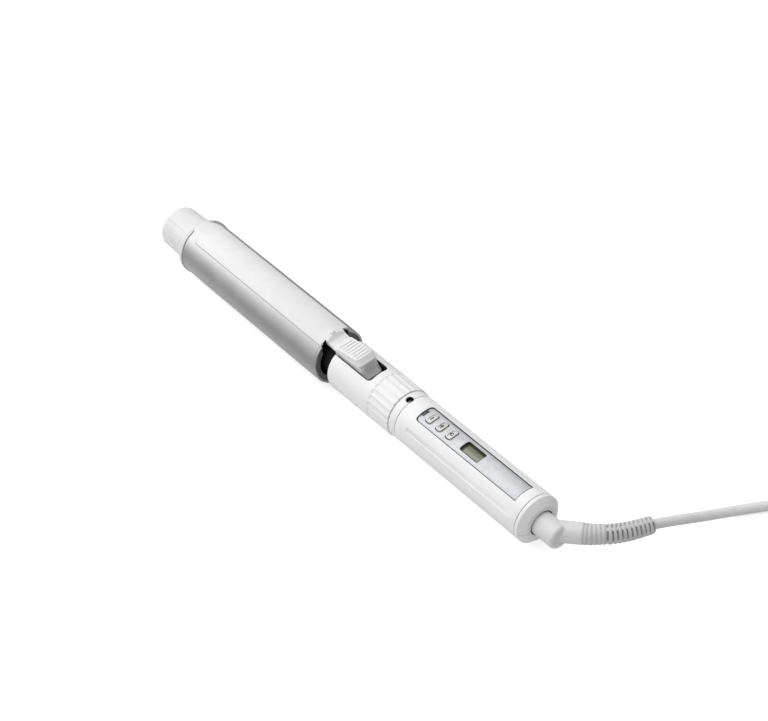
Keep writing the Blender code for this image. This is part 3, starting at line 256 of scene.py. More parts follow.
# Glass-filled nylon, moulded black: the real black inner parts, and the black sheets set behind
# gaps, seams and holes as painted shade.
BLACK = grained(
    "black_nylon_and_painted_gap_shade", "black_plastic", ("#0B0B0B", "#161616"), 0.25 * MM, (0.5, 0.68),
    0.01 * MM,
    shader={"IOR": 1.53},
)
# Phenolic, moulded: the dull dark grey sleeve inside the barrel's rim.
SLEEVE_GREY = grained(
    "phenolic_moulded_dark_grey", "black_plastic", ("#6A6A6A", "#7A7A7A"), 0.25 * MM,
    (0.5, 0.65), 0.008 * MM,
)
# Moulded ABS, dark warm grey: the frame round the display, slightly glossy.
BEZEL = grained(
    "abs_moulded_dark_grey", "black_plastic", ("#383731", "#46453D"), 0.25 * MM, (0.3, 0.42),
    0.004 * MM,
    shader={"IOR": 1.53},
)
# Smoked acrylic, polished: the almost black lamp lens, glossy.
SMOKED = grained(
    "acrylic_smoked_polished", "smoked_window", ("#24272B", "#33373C"), 0.8 * MM, (0.08, 0.14),
    0.001 * MM,
    shader={"Coat Weight": 0.5, "Coat Roughness": 0.05},
)
# Soft PVC, extruded: the cord's light grey jacket, satin, with a faint drawn grain.
JACKET = grained(
    "pvc_soft_extruded_light_grey", "cord_rubber", ("#DCDCDC", "#E6E6E6"), 0.4 * MM,
    (0.42, 0.55), 0.006 * MM,
    shader={"IOR": 1.53},
)
# Soft PVC, moulded on: the strain relief and the plug, satin light grey.
SOFT_GREY = grained(
    "pvc_soft_moulded_light_grey", "cord_rubber", ("#C9C9C9", "#D4D4D4"), 0.35 * MM,
    (0.4, 0.52), 0.008 * MM,
    shader={"IOR": 1.53},
)
# Satin ABS, moulded: the swivel stub, a pale grey a little lighter than the strain relief.
STUB_WHITE = grained(
    "abs_satin_moulded_pale", "matte_white_plastic", ("#DEDEDE", "#E8E8E8"), 0.35 * MM,
    (0.34, 0.46), 0.006 * MM,
    shader={"IOR": 1.53},
)
# Nickel-plated brass, stamped: bright blades with lengthwise drawing marks.
NICKEL = grained(
    "brass_nickel_plated", "steel", ("#BDBDB8", "#D0D0CC"), 0.2 * MM, (0.18, 0.32), 0.003 * MM,
    stretch=(1.0, 0.12, 1.0),
    shader={"Metallic": 1.0},
)
# Zinc-plated steel, turned: pins and screws, with fine rings.
STEEL = grained(
    "steel_zinc_plated_turned", "steel", ("#9C9D9F", "#B6B7B9"), 0.15 * MM, (0.25, 0.4),
    0.004 * MM, stretch=(0.2, 1.0, 1.0),
    shader={"Metallic": 1.0},
)
# Spring steel, drawn: darker, with a bluish oil finish.
SPRING = grained(
    "spring_steel_drawn", "steel", ("#6F7276", "#85888C"), 0.12 * MM, (0.25, 0.38), 0.003 * MM,
    shader={"Metallic": 1.0},
)
# Aluminium, extruded: pale heat spreaders with drawing lines along them.
ALUMINIUM = grained(
    "aluminium_extruded", "aluminium", ("#BFC1C4", "#D2D4D6"), 0.25 * MM, (0.32, 0.46),
    0.006 * MM, stretch=(0.1, 1.0, 1.0),
    shader={"Metallic": 1.0},
)
# Brass, turned: yellow slip rings with fine turning rings.
BRASS = grained(
    "brass_turned", "brass", ("#B8923F", "#D0AB58"), 0.15 * MM, (0.2, 0.34), 0.004 * MM,
    stretch=(1.0, 0.3, 0.3),
    shader={"Metallic": 1.0},
)
# Bronze, sintered: brown and slightly porous, oiled.
BRONZE = grained(
    "bronze_sintered_oiled", "bronze", ("#7C5631", "#96703F"), 0.12 * MM, (0.4, 0.6),
    0.01 * MM,
    shader={"Metallic": 1.0},
)
# Electrographite, pressed: dull near-black brushes.
CARBON = grained(
    "graphite_pressed", "carbon", ("#1B1B1C", "#2B2B2D"), 0.08 * MM, (0.55, 0.75), 0.006 * MM,
)
# Alumina, fired: an off-white slab with a fine dry tooth.
CERAMIC = grained(
    "alumina_fired", "ceramic", ("#DDD6C8", "#E9E4D8"), 0.2 * MM, (0.4, 0.6), 0.01 * MM,
)


def satin_barrel():
    """Satin chrome on drawn steel: a soft bright sheen, with fine polishing lines round it."""
    made, tree, place = new_material("steel_satin_chromed", "satin_metal")
    moved = add(
        tree,
        "ShaderNodeMapping",
        inputs={"Scale": (1.0, 0.04, 0.04)},
        links={"Vector": (place, "Object")},
    )
    lines = add(
        tree,
        "ShaderNodeTexNoise",
        inputs={"Scale": 1.0 / (0.25 * MM), "Detail": 2.0},
        links={"Vector": (moved, "Vector")},
    )
    clouds = add(
        tree,
        "ShaderNodeTexNoise",
        inputs={"Scale": 1.0 / (14 * MM), "Detail": 2.0},
        links={"Vector": (place, "Object")},
    )
    colour = ramp(tree, clouds, "Fac", ((0.3, "#C3C3C4"), (0.7, "#CCCCCD")))
    both = add(
        tree,
        "ShaderNodeMath",
        settings={"operation": "MULTIPLY_ADD"},
        links={0: (lines, "Fac"), 2: (clouds, "Fac")},
        inputs={1: 0.5},
    )
    rough = spread(tree, both, "Value", 0.36, 0.48)
    close_material(tree, colour, rough, lines, "Fac", 0.35, 0.002 * MM, {"Metallic": 1.0})
    return made


def display_glass():
    """Polycarbonate over the liquid crystal: olive, clear and glossy, with a faint grain, and
    painted shade that darkens it towards +Y, under the recess's far wall.
    """
    made, tree, place = new_material("polycarbonate_over_olive_crystal", "screen_glass")
    grain = add(
        tree,
        "ShaderNodeTexNoise",
        inputs={"Scale": 1.0 / (0.12 * MM), "Detail": 2.0},
        links={"Vector": (place, "Object")},
    )
    # Painted shade: the glass gets darker towards +Y, the far side of the recess.
    slope = add(tree, "ShaderNodeSeparateXYZ", links={"Vector": (place, "Generated")})
    both = add(
        tree,
        "ShaderNodeMath",
        settings={"operation": "MULTIPLY_ADD"},
        links={0: (grain, "Fac"), 2: (slope, "Y")},
        inputs={1: 0.25},
    )
    colour = ramp(tree, both, "Value", ((0.1, "#84876C"), (0.95, "#6A6D55")))
    rough = spread(tree, grain, "Fac", 0.1, 0.16)
    shader = {"Coat Weight": 0.6, "Coat Roughness": 0.04, "IOR": 1.58}
    close_material(tree, colour, rough, grain, "Fac", 0.1, 0.001 * MM, shader)
    return made


def solder_mask():
    """Epoxy glass board under green solder mask: copper tracks show as lighter, glossy lines."""
    made, tree, place = new_material("epoxy_glass_solder_masked", "circuit_board")
    tracks = add(
        tree,
        "ShaderNodeTexVoronoi",
        settings={"feature": "DISTANCE_TO_EDGE"},
        inputs={"Scale": 1.0 / (3.2 * MM)},
        links={"Vector": (place, "Object")},
    )
    colour = ramp(tree, tracks, "Distance", ((0.05, "#3F8A57"), (0.12, "#1D5A33")))
    rough = spread(tree, tracks, "Distance", 0.25, 0.45)
    close_material(tree, colour, rough, tracks, "Distance", 0.3, 0.03 * MM, {"IOR": 1.5})
    return made


def woven_strap():
    """Woven nylon tape: black, with its 0.7 mm weave in relief."""
    made, tree, place = new_material("nylon_woven_tape_black", "tie_fabric")
    warp = add(
        tree,
        "ShaderNodeTexWave",
        settings={"bands_direction": "DIAGONAL"},
        inputs={"Scale": 1.0 / (2 * math.pi * 0.35 * MM), "Distortion": 0.6},
        links={"Vector": (place, "Object")},
    )
    colour = ramp(tree, warp, "Fac", ((0.2, "#121212"), (0.8, "#2A2A2B")))
    rough = spread(tree, warp, "Fac", 0.7, 0.9)
    shader = {"Sheen Weight": 0.3, "Sheen Roughness": 0.5}
    close_material(tree, colour, rough, warp, "Fac", 0.8, 0.1 * MM, shader)
    return made


BARREL_METAL = satin_barrel()
DISPLAY = display_glass()
BOARD = solder_mask()
STRAP = woven_strap()


# --------------------------------------------------------------------------- shapes

def new_object(name, bm):
    mesh = bpy.data.meshes.new(name)
    bmesh.ops.remove_doubles(bm, verts=bm.verts, dist=TINY)
    bmesh.ops.recalc_face_normals(bm, faces=bm.faces)
    bm.to_mesh(mesh)
    bm.free()
    obj = bpy.data.objects.new(name, mesh)
    bpy.context.scene.collection.objects.link(obj)
    return obj


def around(x, radius, degrees):
    angle = math.radians(degrees)
    return (x, radius * math.sin(angle), AXIS + radius * math.cos(angle))


def rounded(outline, steps=5):
    """A closed outline of (a, b) or (a, b, corner radius) points, with its corners rounded."""
    points = []
    count = len(outline)
    for index, item in enumerate(outline):
        corner = Vector(item[:2])
        radius = item[2] if len(item) > 2 else 0.0
        if radius <= 0:
            points.append(tuple(corner))
            continue
        before = (Vector(outline[index - 1][:2]) - corner).normalized()
        after = (Vector(outline[(index + 1) % count][:2]) - corner).normalized()
        half = before.angle(after) / 2
        centre = corner + (before + after).normalized() * radius / math.sin(half)
        start = corner + before * radius / math.tan(half) - centre
        end = corner + after * radius / math.tan(half) - centre
        first = math.atan2(start.y, start.x)
        turn = math.atan2(end.y, end.x) - first
        turn = (turn + math.pi) % (2 * math.pi) - math.pi
        for step in range(steps + 1):
            angle = first + turn * step / steps
            points.append(tuple(centre + radius * Vector((math.cos(angle), math.sin(angle)))))
    return points


def box_outline(x0, x1, half_width, corner=0.0, middle_y=0.0):
    low, high = middle_y - half_width, middle_y + half_width
    corners = ((x0, low), (x1, low), (x1, high), (x0, high))
    return rounded([(x, y, corner) for x, y in corners], 8)


def nosed(front, rear, half, nose, corner, steps):
    """A rounded oblong with one corner radius in front and another behind."""
    ends = ((front, -half, nose), (rear, -half, corner), (rear, half, corner), (front, half, nose))
    return rounded(ends, steps)


def skin(name, rings, closed=False, capped=False):
    """A surface through rings of points. A ring of one point closes it to a tip."""
    bm = bmesh.new()
    loops = [[bm.verts.new(point) for point in ring] for ring in rings]
    steps = max(len(loop) for loop in loops)
    for loop, following in zip(loops, loops[1:] + loops[:1] if closed else loops[1:]):
        if len(loop) == 1 and len(following) == 1:
            continue
        for step in range(steps):
            corners = [loop[step % len(loop)], loop[(step + 1) % len(loop)]]
            corners += [following[(step + 1) % len(following)], following[step % len(following)]]
            bm.faces.new(tuple(dict.fromkeys(corners)))
    if capped:
        bm.faces.new(loops[0])
        bm.faces.new(loops[-1])
    return new_object(name, bm)


def lathe(name, outline, steps=ROUND, shape=None):
    """Turns a closed outline of (x, radius) round the tool's axis.

    shape(x, radius, degrees) may change a radius.
    """
    rings = []
    for x, radius in outline:
        ring = [(x, 0.0, AXIS)]
        if radius >= TINY:
            turns = [360.0 * step / steps for step in range(steps)]
            sizes = [shape(x, radius, (a + 180) % 360 - 180) if shape else radius for a in turns]
            ring = [around(x, size, degrees) for size, degrees in zip(sizes, turns)]
        rings.append(ring)
    return skin(name, rings, closed=True)


def upright(name, x, profile, closed=False):
    """Turns (radius, height) points round a vertical line at x."""
    rings = []
    for radius, z in profile:
        steps = UPRIGHT_STEPS if radius > TINY else 1
        turns = [2 * math.pi * step / steps for step in range(steps)]
        rings.append([(x + radius * math.cos(t), radius * math.sin(t), z) for t in turns])
    return skin(name, rings, closed)


def prism(name, outline, low, high, axes="xy"):
    """An outline carried from low to high along the third axis."""
    order = {"xy": (0, 1, 2), "xz": (0, 2, 1), "yz": (2, 0, 1)}[axes]
    ends = []
    for level in (low, high):
        ends.append([[(a, b, level)[index] for index in order] for a, b in outline])
    return skin(name, ends, capped=True)


def settle(obj):
    """Applies an object's modifiers to its mesh."""
    graph = bpy.context.evaluated_depsgraph_get()
    mesh = bpy.data.meshes.new_from_object(obj.evaluated_get(graph))
    obj.modifiers.clear()
    obj.data = mesh
    return obj


def carve(obj, *cutters, operation="DIFFERENCE"):
    for cutter in cutters:
        modifier = obj.modifiers.new("carve", "BOOLEAN")
        modifier.operation = operation
        modifier.solver = "EXACT"
        modifier.object = cutter
        settle(obj)
        bpy.data.objects.remove(cutter)
    return obj


def soften(obj, width, segments=2, degrees=30):
    modifier = obj.modifiers.new("edges", "BEVEL")
    modifier.width = width
    modifier.segments = segments
    modifier.limit_method = "ANGLE"
    modifier.angle_limit = math.radians(degrees)
    modifier.harden_normals = False
    return settle(obj)


def arched(name, outline, inner, outer):
    """A plate that follows the tool's round between two radii, cut to an outline in plan."""
    xs = [point[0] for point in outline]
    margin = 1 * MM
    x0, x1 = min(xs) - margin, max(xs) + margin
    shell = lathe(name, [(x0, inner), (x0, outer), (x1, outer), (x1, inner)], FINE_ROUND)
    column = prism("column", outline, AXIS, AXIS + 2 * outer)
    return carve(shell, column, operation="INTERSECT")


def piece(name, obj, finish, body, nodes=(), sharp=32):
    obj.name = name
    obj.data.name = name
    obj.data.materials.clear()
    obj.data.materials.append(finish)
    if obj.type == "MESH":
        obj.data.shade_smooth()
        obj.data.set_sharp_from_angle(angle=math.radians(sharp))
    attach(obj, body)
    if nodes:
        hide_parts(*nodes)
    return obj


def ease(value):
    value = min(max(value, 0.0), 1.0)
    return value * value * (3 - 2 * value)


def smooth_route(points, spacing):
    """Points an even distance apart on a smooth curve through the given points."""
    ends = [points[0] * 2 - points[1]] + list(points) + [points[-1] * 2 - points[-2]]
    dense = []
    for index in range(1, len(ends) - 2):
        a, b, c, d = ends[index - 1 : index + 3]
        for step in range(24):
            t = step / 24
            near = b * 2 + (c - a) * t
            far = (a * 2 - b * 5 + c * 4 - d) * t**2 + (b * 3 - a - c * 3 + d) * t**3
            dense.append((near + far) / 2)
    dense.append(Vector(points[-1]))
    lengths = [0.0]
    for before, after in zip(dense, dense[1:]):
        lengths.append(lengths[-1] + (after - before).length)
    count = max(2, round(lengths[-1] / spacing))
    made = []
    index = 0
    for step in range(count + 1):
        target = lengths[-1] * step / count
        while index < len(dense) - 2 and lengths[index + 1] < target:
            index += 1
        share = (target - lengths[index]) / max(lengths[index + 1] - lengths[index], TINY)
        made.append(dense[index].lerp(dense[index + 1], min(share, 1.0)))
    return made


def sweep(name, points, radius, sides=96):
    """A tube along points. radius(share, degrees) gives its size, with degrees from the top."""
    last = len(points) - 1
    rings = []
    for index, point in enumerate(points):
        ahead = (points[min(index + 1, last)] - points[max(index - 1, 0)]).normalized()
        side = Vector((0, 0, 1)).cross(ahead).normalized()
        top = ahead.cross(side)
        ring = []
        for step in range(sides):
            degrees = 360.0 * step / sides
            angle = math.radians(degrees)
            outward = top * math.cos(angle) + side * math.sin(angle)
            ring.append(point + outward * radius(index / last, degrees))
        rings.append(ring)
    return skin(name, rings, capped=True)


# -------------------------------------------------------------------- camera, floor and light

def view_axes():
    azimuth, elevation, roll = (
        math.radians(value) for value in (CAMERA_AZIMUTH, CAMERA_ELEVATION, CAMERA_ROLL)
    )
    level = Vector((math.sin(azimuth), -math.cos(azimuth), 0.0))
    back = level * math.cos(elevation) + Vector((0.0, 0.0, math.sin(elevation)))
    right = Vector((math.cos(azimuth), math.sin(azimuth), 0.0))
    up = back.cross(right)
    turned_right = right * math.cos(roll) + up * math.sin(roll)
    turned_up = up * math.cos(roll) - right * math.sin(roll)
    return turned_right, turned_up, back


def camera():
    right, up, back = view_axes()
    place = CAMERA_AIM + back * CAMERA_DISTANCE + right * CAMERA_SHIFT[0] + up * CAMERA_SHIFT[1]
    data = bpy.data.cameras.new("camera")
    data.lens = CAMERA_LENS
    data.sensor_width = 36.0
    data.sensor_fit = "HORIZONTAL"
    data.clip_start = 0.05
    data.clip_end = 20.0
    obj = bpy.data.objects.new("camera", data)
    turn = Matrix((right, up, back)).transposed().to_4x4()
    obj.matrix_world = Matrix.Translation(place) @ turn
    bpy.context.scene.collection.objects.link(obj)
    bpy.context.scene.camera = obj


def floor():
    """A pale studio floor that stays evenly white to the camera; to reflection rays only it is
    painted greyer from 20 mm out to the side of the tool, greyest past 60 mm, a painted dark
    reflection in the metal.
    """
    bm = bmesh.new()
    reach = 3.0
    level = -0.0002
    corners = box_outline(-reach, reach, reach)
    bm.faces.new([bm.verts.new((x, y, level)) for x, y in corners])
    obj = new_object("floor", bm)
    made = bpy.data.materials.new("matt_white_board")
    made.use_nodes = True
    tree = made.node_tree
    tree.nodes.clear()
    place = add(tree, "ShaderNodeTexCoord")
    grain = add(
        tree,
        "ShaderNodeTexNoise",
        inputs={"Scale": 1.0 / (2 * MM)},
        links={"Vector": (place, "Object")},
    )
    colour = ramp(tree, grain, "Fac", ((0.0, "#F2F2F2"), (1.0, "#FAFAFA")))
    path = add(tree, "ShaderNodeLightPath")
    glow = spread(tree, path, "Is Camera Ray", 0.0, 0.6)
    # Painted reflection: for glossy rays the floor is greyer, more so farther out to the side of
    # the tool.
    across = add(tree, "ShaderNodeSeparateXYZ", links={"Vector": (place, "Object")})
    away = add(
        tree, "ShaderNodeMath", settings={"operation": "ABSOLUTE"}, links={0: (across, "Y")}
    )
    reflection_shade = add(
        tree,
        "ShaderNodeMapRange",
        inputs={"From Min": 0.02, "From Max": 0.06, "To Min": 0.8, "To Max": 0.42},
        links={"Value": (away, "Value")},
    )
    shade = add(
        tree,
        "ShaderNodeMapRange",
        inputs={"To Min": 0.85},
        links={"Value": (path, "Is Glossy Ray"), "To Max": (reflection_shade, "Result")},
    )
    board = add(
        tree,
        "ShaderNodeMix",
        settings={"data_type": "RGBA", "blend_type": "MULTIPLY"},
        inputs={0: 1.0},
        links={6: (colour, "Color"), 7: (shade, "Result")},
    )
    surface = add(
        tree,
        "ShaderNodeBsdfPrincipled",
        inputs={"Roughness": 0.9, "Specular IOR Level": 0.0, "Emission Color": (1, 1, 1, 1)},
        links={"Base Color": (board, 2), "Emission Strength": (glow, "Result")},
    )
    add(tree, "ShaderNodeOutputMaterial", links={"Surface": (surface, "BSDF")})
    obj.data.materials.append(made)


def soft_light(name, place, aim, size, power):
    data = bpy.data.lights.new(name, "AREA")
    data.shape = "RECTANGLE"
    data.size, data.size_y = size
    data.energy = power
    obj = bpy.data.objects.new(name, data)
    obj.location = place
    heading = Vector(aim) - Vector(place)
    obj.rotation_euler = heading.to_track_quat("-Z", "Y").to_euler()
    bpy.context.scene.collection.objects.link(obj)


def studio():
    scene = bpy.context.scene
    scene.view_settings.view_transform = "Standard"
    world = bpy.data.worlds.new("studio")
    scene.world = world
    world.use_nodes = True
    tree = world.node_tree
    tree.nodes.clear()
    place = add(tree, "ShaderNodeTexCoord")
    facing = add(
        tree,
        "ShaderNodeVectorMath",
        settings={"operation": "DOT_PRODUCT"},
        links={0: (place, "Generated")},
        inputs={1: (-0.5, -0.15, 0.85)},
    )
    colour = ramp(tree, facing, "Value", ((0.0, "#868686"), (0.3, "#BABABA"), (0.8, "#FFFFFF")))
    sky = add(
        tree, "ShaderNodeBackground", inputs={"Strength": 0.94}, links={"Color": (colour, "Color")}
    )
    add(tree, "ShaderNodeOutputWorld", links={"Surface": (sky, "Background")})
    soft_light("overhead_softbox", (-0.25, -0.05, 1.1), (0, 0, 0), (1.1, 0.9), 3.6)
    soft_light("tip_side_softbox", (-1.0, -0.35, 0.65), (0, 0, 0), (0.8, 0.8), 2.5)


# --------------------------------------------------------------------------- cord

RELIEF_ROUTE = (
    (0.0177, 0.0091, -0.0004),
    (0.0209, 0.0119, -0.0007),
    (0.0241, 0.0155, -0.0010),
    (0.0271, 0.0192, -0.0014),
    (0.0296, 0.0233, -0.0019),
    (0.0317, 0.0278, -0.0025),
    (0.0333, 0.0324, -0.0032),
    (0.0350, 0.0382, -0.0042),
)
RELIEF_RADII = (0.0054, 0.0044)
CORD_ROUTE = (
    (0.0374, 0.0442, -0.0054),
    (0.0398, 0.0499, -0.0068),
    (0.0422, 0.0556, -0.0083),
    (0.0461, 0.0646, -0.0104),
    (0.0521, 0.0775, -0.0127),
    (0.0596, 0.0900, -0.0135),
    (0.0679, 0.1034, -0.0127),
)
TAIL_ROUTE = (
    (0.1419, 0.1273, 0.0026),
    (0.1489, 0.1246, 0.0012),
    (0.1553, 0.1192, -0.0019),
    (0.1595, 0.1120, -0.0050),
    (0.1609, 0.1038, -0.0074),
    (0.1609, 0.0970, -0.0083),
)
COIL_CENTRE = (0.1095, 0.0998)
COIL_START = 145.0  # degrees from +X where the cord joins the coil
COIL_TURNS = 11
COIL_END = 83.1
COIL_COLUMNS = (0.0260, 0.0312, 0.0364)
COIL_LOWEST = 0.0038  # height of the lowest turns' middle above the floor
CROSSOVER = (0.264, 0.333)  # where in a turn the cord steps over, and for how long
COIL_PLACES = (
    (2, 0), (1, 0), (0, 0), (0, 1), (1, 1), (2, 1), (2, 2), (1, 2), (0, 2), (0, 3), (1, 3), (2, 3),
)  # column and layer of each turn
LAYER_BULGE = 0.0019
STEPS_PER_TURN = 60


def coil_route():
    """The turns of the coil, wound clockwise in columns and layers, a cord's width apart."""
    points = []
    pitch = 2 * CORD_RADIUS
    last_part = (COIL_START - COIL_END) / 360.0
    total = COIL_TURNS + last_part
    count = round(total * STEPS_PER_TURN)
    for step in range(count + 1):
        turns = total * step / count
        whole = min(int(turns), COIL_TURNS)
        part = turns - whole
        begin, width = CROSSOVER
        share = ease((part - begin) / width)
        column, layer = COIL_PLACES[whole]
        next_column, next_layer = COIL_PLACES[min(whole + 1, COIL_TURNS)]
        radius = COIL_COLUMNS[column] + (COIL_COLUMNS[next_column] - COIL_COLUMNS[column]) * share
        rise = ease(share) if next_layer != layer else share
        height = COIL_LOWEST + pitch * (layer + (next_layer - layer) * rise)
        if next_layer != layer:
            outward = 1 if column == 2 else -1
            radius += outward * LAYER_BULGE * 4 * share * (1 - share)
        angle = math.radians(COIL_START - 360.0 * turns)
        x = CAP_REAR + COIL_CENTRE[0] + radius * math.cos(angle)
        points.append(Vector((x, COIL_CENTRE[1] + radius * math.sin(angle), height)))
    return points


def from_cap(points):
    return [CAP_CENTRE + Vector(point) for point in points]


def cord():
    route = from_cap(RELIEF_ROUTE) + from_cap(CORD_ROUTE) + coil_route() + from_cap(TAIL_ROUTE)
    points = smooth_route(route, 3 * MM)
    curve = bpy.data.curves.new("mains_cord", "CURVE")
    curve.dimensions = "3D"
    spline = curve.splines.new("POLY")
    spline.points.add(len(points) - 1)
    for point, place in zip(spline.points, points):
        point.co = (*place, 1.0)
    spline.use_smooth = True
    curve.bevel_depth = CORD_RADIUS
    curve.bevel_resolution = 6
    curve.use_fill_caps = True
    obj = bpy.data.objects.new("mains_cord", curve)
    bpy.context.scene.collection.objects.link(obj)
    length = sum((b - a).length for a, b in zip(points, points[1:]))
    nodes = ("power_cord", "cord_coil", "cord_tail")
    return piece("mains_cord", obj, JACKET, "cord_set", nodes), points[0], length


def boot():
    """Moulded strain relief: a smooth root, five shallow rings, then eleven slotted rings."""
    spacing = 0.22 * MM
    points = smooth_route(from_cap(RELIEF_ROUTE), spacing)
    length = spacing * (len(points) - 1)
    shallow_start, shallow_pitch, shallow_count = 1.2 * MM, 2.1 * MM, 5
    slots_start = shallow_start + shallow_pitch * shallow_count
    slot_pitch, slot_count = 2.15 * MM, 11
    slot_width = 0.85 * MM

    def size(share, degrees):
        place = share * length
        radius = RELIEF_RADII[0] + (RELIEF_RADII[1] - RELIEF_RADII[0]) * share
        end = length - place
        if end < 1.2 * MM:
            radius -= 1.1 * MM * (1 - math.sqrt(max(0.0, 1 - (1 - end / (1.2 * MM)) ** 2)))
        if shallow_start <= place < slots_start:
            wave = math.sin(math.pi * (place - shallow_start) / shallow_pitch)
            radius -= 0.32 * MM * (1 - wave * wave)
        elif slots_start <= place < slots_start + slot_pitch * slot_count:
            along = (place - slots_start) % slot_pitch
            into = min(along, slot_width - along) / (0.2 * MM)
            round_slot = abs((degrees + 102) % 90 - 45)  # 0 at the middle of a slot
            open_share = ease((33 - round_slot) / 5.0)
            radius -= 1.9 * MM * ease(into) * open_share
            radius -= 0.25 * MM * ease(into) * (1 - open_share)
        return radius

    obj = sweep("strain_relief_boot", points, size)
    return piece("strain_relief_boot", obj, SOFT_GREY, "cord_set", ("strain_relief",), 50)


def strap():
    """The hook-and-loop tie round the coil, a flat band that follows the bundle's outline."""
    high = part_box("cord_tie")[1]
    angle = math.radians(-105)
    centre = Vector((CAP_REAR + COIL_CENTRE[0], COIL_CENTRE[1], 0.0))
    outward = Vector((math.cos(angle), math.sin(angle), 0.0))
    along = Vector((-outward.y, outward.x, 0.0))
    reach = 0.0052 + CORD_RADIUS + 0.5 * MM
    base, top = 0.35 * MM, high.z - 0.1 * MM
    corner = 3.2 * MM
    outline = rounded(
        [
            (COIL_COLUMNS[1] - reach, base, corner),
            (COIL_COLUMNS[1] + reach, base, corner),
            (COIL_COLUMNS[1] + reach, top, corner),
            (COIL_COLUMNS[1] - reach, top, corner),
        ],
        8,
    )
    count = len(outline)
    inside = []
    for index in range(count):
        before, after = Vector(outline[index - 1]), Vector(outline[(index + 1) % count])
        heading = (after - before).normalized()
        inward = Vector((-heading.y, heading.x))
        inside.append(tuple(Vector(outline[index]) + inward * 0.45 * MM))
    half = 4 * MM
    loops = []
    for side, ring in ((-half, outline), (-half, inside), (half, inside), (half, outline)):
        loops.append([centre + outward * r + along * side + Vector((0, 0, z)) for r, z in ring])
    obj = soften(skin("cord_strap", loops, closed=True), 0.12 * MM)
    return piece("cord_strap", obj, STRAP, "cord_set", ("cord_tie",))


def plug():
    """Two-blade mains plug: a rounded grip with finger ribs and a ringed neck."""
    low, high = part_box("plug_body")
    centre = (low + high) / 2
    neck = 0.014
    front, rear = low.y, high.y - neck
    half_x, half_z = (high.x - low.x) / 2, (high.z - low.z) / 2
    stations = []
    body_steps = 40
    for step in range(body_steps + 1):
        share = step / body_steps
        y = front + (rear - front) * share
        swell = 1.0 - 0.16 * ease((share - 0.35) / 0.65)
        rib = 0.0
        if 0.3 < share < 0.87:
            rib = 0.35 * MM * max(0.0, math.sin(2 * math.pi * (share - 0.3) * 7))
        edge = min(share, 1 - share) * (rear - front)
        inset = 2.2 * MM * (1 - math.sqrt(max(0.0, 1 - (1 - min(edge / (2.2 * MM), 1.0)) ** 2)))
        height = half_z * (swell + 0.04) - inset - rib
        stations.append((y, half_x * swell - inset, height, 4.2 * MM))
    neck_steps = 30
    for step in range(neck_steps + 1):
        share = step / neck_steps
        size = 5.6 * MM - 2.0 * MM * share
        ring = 0.5 * MM * (1 if (share * 5) % 1 < 0.6 else 0)
        stations.append((rear + neck * share, size - ring, size - ring, (size - ring) * 0.98))
    rings = []
    for y, half_width, half_height, corner in stations:
        corner = min(corner, half_width * 0.99, half_height * 0.99)
        half_height = min(half_height, centre.z - 0.2 * MM)
        corners = ((-1, -1), (1, -1), (1, 1), (-1, 1))
        outline = rounded([(sx * half_width, sz * half_height, corner) for sx, sz in corners], 8)
        rings.append([(centre.x + x, y, centre.z + z) for x, z in outline])
    grip = skin("plug_grip", rings, capped=True)
    made = [piece("plug_grip", grip, SOFT_GREY, "cord_set", ("plug_body",), 40)]
    for name in ("live", "neutral"):
        low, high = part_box(f"plug_blade_{name}")
        blade_centre = (low + high) / 2
        half = (high.z - low.z) / 2
        outline = rounded(
            [
                (low.y, blade_centre.z - half + 0.9 * MM, 0.5 * MM),
                (low.y + 1.6 * MM, blade_centre.z - half, 0.5 * MM),
                (high.y, blade_centre.z - half),
                (high.y, blade_centre.z + half),
                (low.y + 1.6 * MM, blade_centre.z + half, 0.5 * MM),
                (low.y, blade_centre.z + half - 0.9 * MM, 0.5 * MM),
            ]
        )
        blade = prism(f"blade_{name}", outline, low.x, high.x, "yz")
        hole_y = low.y + 3.6 * MM
        hole = []
        for step in range(24):
            angle = 2 * math.pi * step / 24
            across, up = 1.5 * MM * math.cos(angle), 1.5 * MM * math.sin(angle)
            hole.append((hole_y + across, blade_centre.z + up))
        carve(blade, prism("hole", hole, low.x - MM, high.x + MM, "yz"))
        soften(blade, 0.15 * MM)
        made.append(piece(f"blade_{name}", blade, NICKEL, "cord_set", (f"plug_blade_{name}",)))
    return made


# --------------------------------------------------------------------------- barrel head

FLUTE_COUNT = 9
FLUTE_FIRST = 3.0  # degrees from the top to the middle of a flute
FLUTE_HALF_WIDTH = 7.0
FLUTE_DEPTH = 0.14 * MM
FLUTE_LINE = 0.2 * MM  # extra depth of the fine line along each edge of a flute


